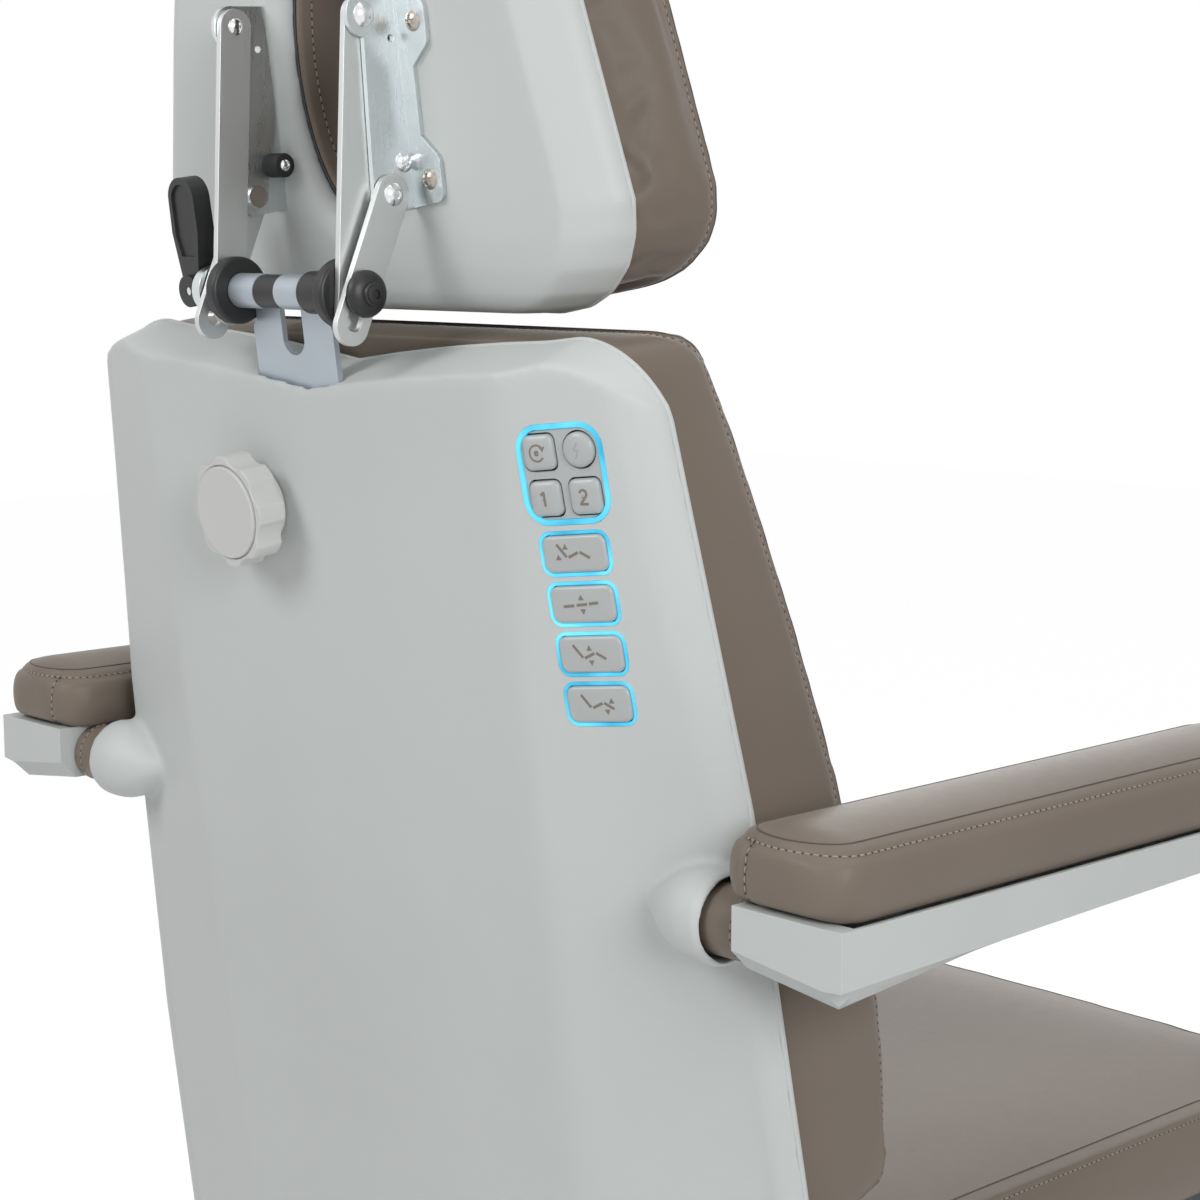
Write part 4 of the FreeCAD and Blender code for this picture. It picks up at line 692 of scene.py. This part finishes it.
HEAD_PAD = ((604, 146, -86), (608, 169, -96), (616, 186, -103), (630, 200, -108), (646, 207, -110),
            (664, 209, -110), (770, 183, -110), (856, 158, -110), (872, 152, -108), (883, 143, -103),
            (889, 132, -96), (892, 118, -86))
HEAD_REAR = (BACK @ Vector((0, -0.0335, 0)), BACK.to_3x3() @ Vector((0, 1, 0)))
upholster("headrest_cushion", "headrest_pad", "headrest", back_place, side_outline(HEAD_PAD),
          front_at(HEAD_PAD, 0.014), front_at(HEAD_PAD, 0.0095), local_height(BACK, 1, -0.036), voxel=0.005,
          cap=0.009, axes=BACK, trim=HEAD_REAR)

# Face opening: half width, half height and height of its centre, then the sleeve's section as (growth, depth)
FACE_HALF_X, FACE_HALF_Z, FACE_Z = 0.045, 0.086, 0.748
LINING = ((0.0048, -0.060), (0.0048, -0.0185), (0.0042, -0.0172), (0.003, -0.0166), (0.0016, -0.0172),
          (0.0004, -0.0195), (0.0001, -0.030), (0.0003, -0.060))
LINING_REAR, LINING_SEAM = -0.0166, -0.0255


def oval(grow, y, count=96):
    """Points around the face opening, grown by a distance, at a depth of the back's frame."""
    return [BACK @ Vector(((FACE_HALF_X + grow) * c, y, FACE_Z + (FACE_HALF_Z + grow) * s))
            for c, s in circle(count)]


def face_lining():
    """The vinyl sleeve of the face opening, with a near-black cord of painted shade in the joint along its
    rear edge, and a sewn line.
    """
    build = Build()
    build.rings([oval(grow, y) for grow, y in LINING], caps=False)
    # Near-black cord at the sleeve's rear edge: painted shade in the joint round it
    build.tube(oval(0.0046, LINING_REAR), 0.0007, 6, closed=True, kind=3)
    line = oval(0.0, LINING_SEAM, 240)
    centre = BACK @ Vector((0, LINING_SEAM, FACE_Z))
    seam = Build()
    stitches(seam, line, [(centre - p).normalized() for p in line])
    build.join(seam, 1)
    build.piece("face_lining", (VINYL, THREAD, HOLE_SHADE, GAP_SHADE), "headrest", "vinyl")


face_lining()


# Rear seam of the armrest pads: distance from the middle, top, and number of millimetres down
REAR_SEAM_X, REAR_SEAM_TOP, REAR_SEAM_STEPS = 0.325, 0.0545, 34


def rear_seam(side):
    """The upright seam on the rear face of an armrest pad."""
    def sew(pad, build):
        tree = BVHTree.FromObject(pad, bpy.context.evaluated_depsgraph_get())
        points, ways = [], []
        for step in range(REAR_SEAM_STEPS):
            far = ARM @ Vector((side * REAR_SEAM_X, 0.12, REAR_SEAM_TOP - MM * step))
            hit, way, _, _ = tree.ray_cast(far, Vector((0, -1, 0)))
            if hit is not None and hit.y > far.y - 0.12:
                points.append(hit)
                ways.append(way)
        sink(pad, points, 0.0016, 0.003)
        stitches(build, [p - w * 0.0012 for p, w in zip(points, ways)], ways, closed=False)
    return sew


for hand, side in (("left", 1), ("right", -1)):
    ring = rounded(0.0445, 0.213, 0.026, x=side * 0.3465, y=-0.181)
    upholster(f"arm_pad_{hand}", f"armrest_pad_{hand}", f"armrest_{hand}", arm_place, ring,
              lambda x, y: 0.0528, lambda x, y: 0.0575, local_height(ARM, 2, 0.0245), voxel=0.0042,
              draw_in=0.0012, cap=0.005, soft=4, extra=rear_seam(side), lower=0.0034)


# Shells: the solids with their creases softened

def finished(piece, material, body, node, sharp=None):
    """Give a made-over solid its material and its place on a body."""
    piece.data.materials.clear()
    piece.data.materials.append(material)
    for face in piece.data.polygons:
        face.use_smooth = True
    if sharp:
        piece.data.set_sharp_from_angle(angle=math.radians(sharp))
    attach(piece, body)
    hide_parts(node)


def carve(piece, cutter):
    """Cut a built form out of a piece."""
    mesh = bpy.data.meshes.new("cutter")
    mesh.from_pydata([tuple(v) for v in cutter.vertices], [], cutter.faces)
    tool = bpy.data.objects.new("cutter", mesh)
    scene.collection.objects.link(tool)
    tidy_normals(tool)
    cut = piece.modifiers.new("cut", "BOOLEAN")
    cut.operation = "DIFFERENCE"
    cut.object = tool
    cut.solver = "EXACT"
    apply(piece)
    bpy.data.objects.remove(tool)
    bpy.data.meshes.remove(mesh)


head_case = true_rim(relaxed("headrest_shell", "headrest_case", 0.0022, 8, BACK), "headrest_shell", -0.022)
finished(head_case, SHELL, "headrest", "headrest_shell")


def rim_bead(node, name, body, radius=0.0016, count=360, skip=None):
    """A rolled bead along a shell's front rim, followed round by rays. Heights in `skip` are bridged."""
    flat = BACK.inverted()
    mesh = nodes[node].data
    places = np.array([flat @ v.co for v in mesh.vertices])
    level, middle = places[:, 1].min() + 0.0009, (places[:, 2].min() + places[:, 2].max()) / 2
    tree = BVHTree.FromPolygons([v.co for v in mesh.vertices], [p.vertices for p in mesh.polygons])
    centre = BACK @ Vector((0, level, middle))
    points = []
    for i in range(count):
        turn = 2 * math.pi * i / count
        way = BACK.to_3x3() @ Vector((math.cos(turn), 0, math.sin(turn)))
        hit = tree.ray_cast(centre + way, -way)[0]
        if hit is None or (skip and skip[0] < (flat @ hit).z < skip[1]):
            continue
        points.append(hit - way * radius * 0.55)
    build = Build()
    build.tube(even(points, 0.004, closed=True), radius, 10, closed=True)
    build.piece(name, SHELL, body, "shell_plastic")


rim_bead("headrest_shell", "headrest_rim", "headrest")
rim_bead("back_shell", "back_rim", "back", skip=(0.262, 0.336))

# Control panel, in millimetres on its own face: keys, then bars from the top
PAD_HALF, PAD_CORNER, RING_WIDE = 27, 14, 3
KEY_HALF, KEY_PITCH, KEY_CORNER = 9.4, 12.3, 4.0
BAR_HALF_X, BAR_HALF_Y, BAR_CORNER, BAR_RIM = 19.7, 9.9, 5.0, 2.4
BAR_FIRST, BAR_PITCH = 42.4, 27.3
KEYS = {"home_key": (-1, 1), "power_key": (1, 1), "memory_key_one": (-1, -1), "memory_key_two": (1, -1)}
BARS = ("back_rocker", "lift_rocker", "tilt_rocker", "leg_rocker")


def bar_y(number):
    return -(BAR_FIRST + number * BAR_PITCH)


def in_mm(outline):
    return [(x * MM, y * MM) for x, y in outline]


def panel_openings(grow, low, high):
    """Prisms over the key pad and the four bars with their light rings."""
    build = Build()
    outlines = [rounded(PAD_HALF + grow, PAD_HALF + grow, PAD_CORNER + grow)]
    rim = BAR_RIM + grow
    for number in range(len(BARS)):
        outlines.append(rounded(BAR_HALF_X + rim, BAR_HALF_Y + rim, BAR_CORNER + rim, y=bar_y(number)))
    for outline in outlines:
        build.prism(PANEL, in_mm(outline), low * MM, high * MM)
    return build


def back_case():
    """The back shell, whose panel openings are closed, softened with the rest and cut again."""
    case = relaxed("back_shell", "back_case", 0.0024, 8, BACK, plugs=panel_openings(0.8, -4, 0))
    true_rim(case, "back_shell", 0.016)
    carve(case, panel_openings(0.1, -9, 6))
    finished(case, SHELL, "back", "back_shell", sharp=38)


back_case()


def key_outline(name, inset):
    x, y = (KEY_PITCH * side for side in KEYS[name])
    if name == "power_key":
        return [(x + (KEY_HALF - inset) * c, y + (KEY_HALF - inset) * s) for c, s in circle(48)]
    return rounded(KEY_HALF - inset, KEY_HALF - inset, max(0.6, KEY_CORNER - inset * 0.35), x=x, y=y)


def bar_outline(number, inset):
    return rounded(BAR_HALF_X - inset, BAR_HALF_Y - inset, max(0.6, BAR_CORNER - inset), y=bar_y(number))


# Domes: how far in from the edge, and how high
KEY_DOME = ((0, -5.5), (0, 0.5), (0.25, 1.1), (0.8, 1.7), (1.8, 2.2), (3.4, 2.6), (5.4, 2.9), (7.4, 3.05),
            (8.6, 3.1))
BAR_DOME = ((0, -5.5), (0, 0.4), (0.3, 1.0), (0.9, 1.5), (1.6, 1.75), (2.4, 1.8), (4.5, 1.95), (7.5, 2.05),
            (9.2, 2.1))


def cap_piece(name, outline, dome):
    """The domed cap of a key or bar, on the key's own body."""
    build = Build()
    build.rings([[PANEL @ Vector((x * MM, y * MM, height * MM)) for x, y in outline(inset)]
                 for inset, height in dome])
    piece = build.piece(name + "_cap", KEY, name, "key_plastic")
    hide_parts(name)
    return piece


# Marks reach from below a cap's surface to just above it
MARK_LOW, MARK_HIGH = -0.15, 0.07


class Print:
    """Marks laid on a cap, drawn in millimetres from its centre."""

    def __init__(self, cap, x, y):
        self.tree = BVHTree.FromObject(cap, bpy.context.evaluated_depsgraph_get())
        self.x, self.y, self.build = x, y, Build()

    def on(self, x, y, lift):
        """The place on the cap below (x, y), lifted off its surface."""
        start = PANEL @ Vector(((x + self.x) * MM, (y + self.y) * MM, 0.02))
        down = PANEL.to_3x3() @ Vector((0, 0, -1))
        hit = self.tree.ray_cast(start, down)[0]
        return hit - down * lift * MM

    def stroke(self, points, width):
        line = even([Vector((*p, 0)) for p in points], 0.7, closed=False)
        rings = []
        for i, here in enumerate(line):
            along = (line[min(i + 1, len(line) - 1)] - line[max(i - 1, 0)]).normalized() * width / 2
            sides = ((here.x - along.y, here.y + along.x), (here.x + along.y, here.y - along.x))
            rings.append([self.on(*sides[0], MARK_LOW), self.on(*sides[1], MARK_LOW),
                          self.on(*sides[1], MARK_HIGH), self.on(*sides[0], MARK_HIGH)])
        self.build.rings(rings)

    def triangle(self, x, y, size, up):
        corners = [(x - size, y - up * size * 0.8), (x + size, y - up * size * 0.8), (x, y + up * size * 0.9)]
        self.build.rings([[self.on(*c, lift) for c in corners] for lift in (MARK_LOW, MARK_HIGH)])

    def arc(self, radius, start, end, width):
        turns = [math.radians(start + (end - start) * i / 24) for i in range(25)]
        self.stroke([(radius * math.cos(a), radius * math.sin(a)) for a in turns], width)


def key_marks(name, mark):
    """Circular arrow, bolt and the numbers 1 and 2."""
    if name == "home_key":
        mark.arc(4.3, 40, 325, 1.1)
        mark.triangle(3.7, 1.9, 1.7, -1)
        mark.arc(1.0, 0, 340, 1.2)
    elif name == "power_key":
        mark.stroke([(1.0, 4.0), (-1.5, 0.3), (1.4, -0.3), (-1.0, -4.0)], 0.7)
    elif name == "memory_key_one":
        mark.stroke([(-1.7, 2.2), (0.4, 3.8), (0.4, -3.8)], 1.5)
    else:
        turns = [math.radians(165 - 205 * i / 14) for i in range(15)]
        hook = [(2.1 * math.cos(a), 1.7 + 2.1 * math.sin(a)) for a in turns]
        mark.stroke(hook + [(-2.2, -3.7), (2.6, -3.7)], 1.45)


# Signs of the bars: a chair's back, seat and leg as strokes, and triangles as (x, y, direction)
CHAIR = (((-7.4, 4.2), (-3.4, -1.0)), ((-2.6, -1.2), (2.1, 0.7)), ((2.9, 0.8), (7.2, -1.7)))
FLAT_CHAIR = (((-8.6, -0.5), (-3.6, -0.2)), ((-2.5, -0.1), (2.4, 0.2)), ((3.3, 0.3), (7.6, 0.6)))
SIGN_SCALE, SIGN_STROKE, SIGN_TRIANGLE = 1.35, 1.6, 1.8
SIGNS = {
    "back_rocker": (CHAIR, ((-3.6, 3.1, 1), (-7.2, -1.0, 1))),
    "lift_rocker": (FLAT_CHAIR, ((-0.1, 2.9, 1), (0.1, -2.8, -1))),
    "tilt_rocker": (CHAIR, ((-0.1, 2.8, 1), (0.2, -3.2, -1))),
    "leg_rocker": (CHAIR, ((6.4, 1.6, 1), (3.9, -3.0, -1))),
}
# Key plate and the dark floor below it, painted shade seen through the gaps round the keys: lower and upper
# face, and the gap around a key
PLATE_LEVELS, SHADE_FLOOR_LEVELS, KEY_GAP = (-3.2, -0.4), (-8.4, -7.6), 0.9


def control_panel():
    """Caps with their marks, the plate between the keys and the dark floor below it, painted shade for the
    gaps round the keys.
    """
    for name, (x, y) in KEYS.items():
        cap = cap_piece(name, lambda inset: key_outline(name, inset), KEY_DOME)
        mark = Print(cap, x * KEY_PITCH, y * KEY_PITCH)
        key_marks(name, mark)
        shade = FAINT if name == "power_key" else MARK
        mark.build.piece(name + "_mark", shade, name, "key_plastic", smooth=False)
    for number, name in enumerate(BARS):
        cap = cap_piece(name, lambda inset: bar_outline(number, inset), BAR_DOME)
        mark = Print(cap, 0, bar_y(number))
        strokes, triangles = SIGNS[name]
        for points in strokes:
            mark.stroke([(x * SIGN_SCALE, y * SIGN_SCALE) for x, y in points], SIGN_STROKE)
        for x, y, up in triangles:
            mark.triangle(x * SIGN_SCALE, y * SIGN_SCALE, SIGN_TRIANGLE, up)
        mark.build.piece(name + "_mark", MARK, name, "key_plastic", smooth=False)
    inner = PAD_HALF - RING_WIDE - 0.2
    outline = in_mm(rounded(inner, inner, PAD_CORNER - RING_WIDE))
    build = Build()
    build.prism(PANEL, outline, *(level * MM for level in PLATE_LEVELS))
    plate = build.piece("key_plate", KEY, "back", "key_plastic")
    gaps = Build()
    for name in KEYS:
        gaps.prism(PANEL, in_mm(key_outline(name, -KEY_GAP)), -5 * MM, 2 * MM)
    carve(plate, gaps)
    plate.data.set_sharp_from_angle(angle=math.radians(30))
    # The dark floor paints the shade seen through the gaps round the keys
    floor = Build()
    floor.prism(PANEL, outline, *(level * MM for level in SHADE_FLOOR_LEVELS))
    floor.piece("key_shade_floor", GAP_SHADE, "back", "black_plastic")


control_panel()


# Fasteners of the headrest linkage, in millimetres of the back's frame
ARM_X, WEB_X, LINK_END, NUT_START, STOP_END = 55.3, 63.0, 67.9, 68.6, 47.0
UPPER, LOWER, STOP = (20, 772), (17, 674.5), (3.5, 691)
SCREW_X, SCREW_Y, SCREW_Z = 78, -1, (680.5, 766)
SHAFT = (46.1, 624)
LOWER_SHANK = ((0.0065, -0.002), (0.0065, 0), (0.004, 0.0), (0.004, 0.0079))
# End nut: flange with barrel, and the raised ring around its socket, as (radius, height)
NUT_BARREL = ((12.6, 0), (13, 0.5), (13, 2.6), (12.2, 4.4), (10.6, 6.2), (8, 7.4), (6.8, 7.7))
NUT_RING = ((6.4, 7), (6.4, 9.2), (5.9, 9.9), (5.2, 10.0))


def facing(x, y, z, way):
    """A frame at a place of the back's frame whose z axis looks along `way` there."""
    turn = Vector(way).to_track_quat("Z", "Y").to_matrix().to_4x4()
    return BACK @ Matrix.Translation((x * MM, y * MM, z * MM)) @ turn


def cross(u, v):
    return math.hypot(u, v) < 0.62 and min(abs(u), abs(v)) < 0.17


def hexagon(u, v):
    return max(abs(u * math.cos(a) + v * math.sin(a)) for a in (0, math.pi / 3, -math.pi / 3)) < 0.42


def dimple(u, v):
    return math.hypot(u, v) < 0.42


def fasteners():
    """Rivets, screws and the bumper's screw."""
    build = Build()
    for side in (1, -1):
        build.head(facing(side * WEB_X, *UPPER, (side, 0, 0)), 0.0068, 0.0030)
        build.head(facing(side * ARM_X, *UPPER, (-side, 0, 0)), 0.0048, 0.0016, dimple, 0.0008)
        build.head(facing(side * LINK_END, *LOWER, (side, 0, 0)), 0.0062, 0.0024, dimple, 0.0007)
        build.head(facing(side * WEB_X, *STOP, (side, 0, 0)), 0.0058, 0.0024, cross, 0.0009)
        build.lathe(facing(side * ARM_X, *UPPER, (side, 0, 0)), ((0.004, -0.0004), (0.004, 0.0077)))
        build.lathe(facing(side * (WEB_X - 3), *LOWER, (side, 0, 0)), LOWER_SHANK)
        for z in SCREW_Z:
            build.head(facing(side * SCREW_X, SCREW_Y, z, (0, 1, 0)), 0.0056, 0.0026, cross, 0.0014, kind=1)
    build.head(facing(STOP_END, *STOP, (-1, 0, 0)), 0.0034, 0.0014, cross, 0.0007)
    piece = build.piece("linkage_fasteners", (CHROME, SCREW), "headrest", "zinc")
    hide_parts("bracket_fasteners")
    piece.data.set_sharp_from_angle(angle=math.radians(40))


fasteners()


def end_nut():
    """The capped nut on the shaft's right end: flange, barrel, crown and hexagon socket."""
    build = Build()
    place = facing(-NUT_START, *SHAFT, (-1, 0, 0))
    build.lathe(place, in_mm(NUT_BARREL), 56)
    build.lathe(place, in_mm(NUT_RING), 40)
    build.head(facing(-NUT_START - 10.0, *SHAFT, (-1, 0, 0)), 0.0052, 0.0006, hexagon, 0.0032)
    piece = build.piece("end_nut", BLACK, "neck", "black_plastic")
    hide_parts("shaft_nut")
    piece.data.set_sharp_from_angle(angle=math.radians(40))


end_nut()

# Roller's section as (radius, distance from the middle), and its sewn ring
ROLLER = ((8.3, 269), (16, 269), (18.6, 269.8), (19.5, 272), (19.5, 311.5), (18.6, 314), (16, 315),
          (8.3, 315))
ROLLER_RADIUS, ROLLER_SEAM = 0.0195, 0.306


def rollers():
    """The covered rollers between boss and tray, sewn round near their outer ends."""
    for hand, side in (("left", 1), ("right", -1)):
        axis = ARM @ Matrix.Rotation(side * math.pi / 2, 4, "Y")
        build = Build()
        build.lathe(axis, in_mm(ROLLER), 64, hollow=True)
        line = [axis @ Vector((ROLLER_RADIUS * c, ROLLER_RADIUS * s, ROLLER_SEAM)) for c, s in circle(120)]
        middle = axis @ Vector((0, 0, ROLLER_SEAM))
        seam = Build()
        stitches(seam, line, [(p - middle).normalized() for p in line])
        build.join(seam, 1)
        piece = build.piece(f"arm_sleeve_{hand}", (VINYL, THREAD, HOLE_SHADE), f"armrest_{hand}", "vinyl")
        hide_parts(f"arm_roller_{hand}")


rollers()


# Studio

# Share of the floor that shines white by itself, its strength, and the world's light on the chair
FLOOR_WHITE, FLOOR_STRENGTH, WORLD_LIGHT = 0.88, 1.1, 0.22
FLOOR_REACH = 9.0
# Lamps: place, target, width and power
LAMPS = {
    "key": ((0.7, 2.6, 2.6), (0, 0.25, 0.95), 1.5, 32),
    "fill": ((-2.6, 1.3, 1.9), (0, 0.1, 0.9), 1.3, 38),
    "top": ((-0.2, -0.3, 3.1), (0, 0, 0.6), 2.4, 15),
    "front": ((1.6, -2.3, 1.9), (0, 0, 0.8), 2.2, 16),
}


def floor_material():
    """A pale floor that shows white and keeps the chair's shadow."""
    material = bpy.data.materials.new("studio_floor")
    material.use_nodes = True
    tree = material.node_tree
    tree.nodes.clear()
    out = tree.nodes.new("ShaderNodeOutputMaterial")
    pale = tree.nodes.new("ShaderNodeBsdfDiffuse")
    pale.inputs["Color"].default_value = (0.86, 0.86, 0.86, 1)
    white = tree.nodes.new("ShaderNodeEmission")
    white.inputs["Color"].default_value = (1, 1, 1, 1)
    white.inputs["Strength"].default_value = FLOOR_STRENGTH
    mix = tree.nodes.new("ShaderNodeMixShader")
    share = tree.nodes.new("ShaderNodeMath")
    share.operation = "MULTIPLY"
    share.inputs[1].default_value = FLOOR_WHITE
    tree.links.new(seen_directly(tree), share.inputs[0])
    tree.links.new(share.outputs[0], mix.inputs[0])
    tree.links.new(pale.outputs[0], mix.inputs[1])
    tree.links.new(white.outputs[0], mix.inputs[2])
    tree.links.new(mix.outputs[0], out.inputs["Surface"])
    return material


def seen_directly(tree):
    """One for rays that show the background itself, by sight, in gloss or through glass."""
    path = tree.nodes.new("ShaderNodeLightPath")
    total = path.outputs["Is Camera Ray"]
    for name in ("Is Glossy Ray", "Is Transmission Ray"):
        either = tree.nodes.new("ShaderNodeMath")
        either.operation = "MAXIMUM"
        tree.links.new(total, either.inputs[0])
        tree.links.new(path.outputs[name], either.inputs[1])
        total = either.outputs[0]
    return total


def studio():
    mesh = bpy.data.meshes.new("studio_floor")
    corners = [(x * FLOOR_REACH, y * FLOOR_REACH, 0) for x, y in ((-1, -1), (1, -1), (1, 1), (-1, 1))]
    mesh.from_pydata(corners, [], [(0, 1, 2, 3)])
    floor = bpy.data.objects.new("studio_floor", mesh)
    scene.collection.objects.link(floor)
    mesh.materials.append(floor_material())
    world = scene.world or bpy.data.worlds.new("studio")
    scene.world = world
    world.use_nodes = True
    tree = world.node_tree
    tree.nodes.clear()
    out = tree.nodes.new("ShaderNodeOutputWorld")
    light = tree.nodes.new("ShaderNodeBackground")
    white = tree.nodes.new("ShaderNodeBackground")
    mix = tree.nodes.new("ShaderNodeMixShader")
    light.inputs["Color"].default_value = (1, 1, 1, 1)
    light.inputs["Strength"].default_value = WORLD_LIGHT
    white.inputs["Color"].default_value = (1, 1, 1, 1)
    white.inputs["Strength"].default_value = 1.0
    tree.links.new(seen_directly(tree), mix.inputs[0])
    tree.links.new(light.outputs[0], mix.inputs[1])
    tree.links.new(white.outputs[0], mix.inputs[2])
    tree.links.new(mix.outputs[0], out.inputs["Surface"])
    for name, values in LAMPS.items():
        lamp(name, *values)


def lamp(name, place, target, width, power):
    data = bpy.data.lights.new(name, "AREA")
    data.shape = "DISK"
    data.size = width
    data.energy = power
    light = bpy.data.objects.new(name, data)
    light.location = place
    light.rotation_euler = (Vector(target) - Vector(place)).to_track_quat("-Z", "Y").to_euler()
    scene.collection.objects.link(light)


def camera():
    data = bpy.data.cameras.new("camera")
    data.lens = 77.1
    data.sensor_width = 36
    eye = bpy.data.objects.new("camera", data)
    eye.location = (-1.1857, 1.2579, 1.2024)
    eye.rotation_euler = (math.radians(81.8), 0, math.radians(226.7))
    scene.collection.objects.link(eye)
    scene.camera = eye


studio()
camera()
scene.view_settings.view_transform = "Standard"
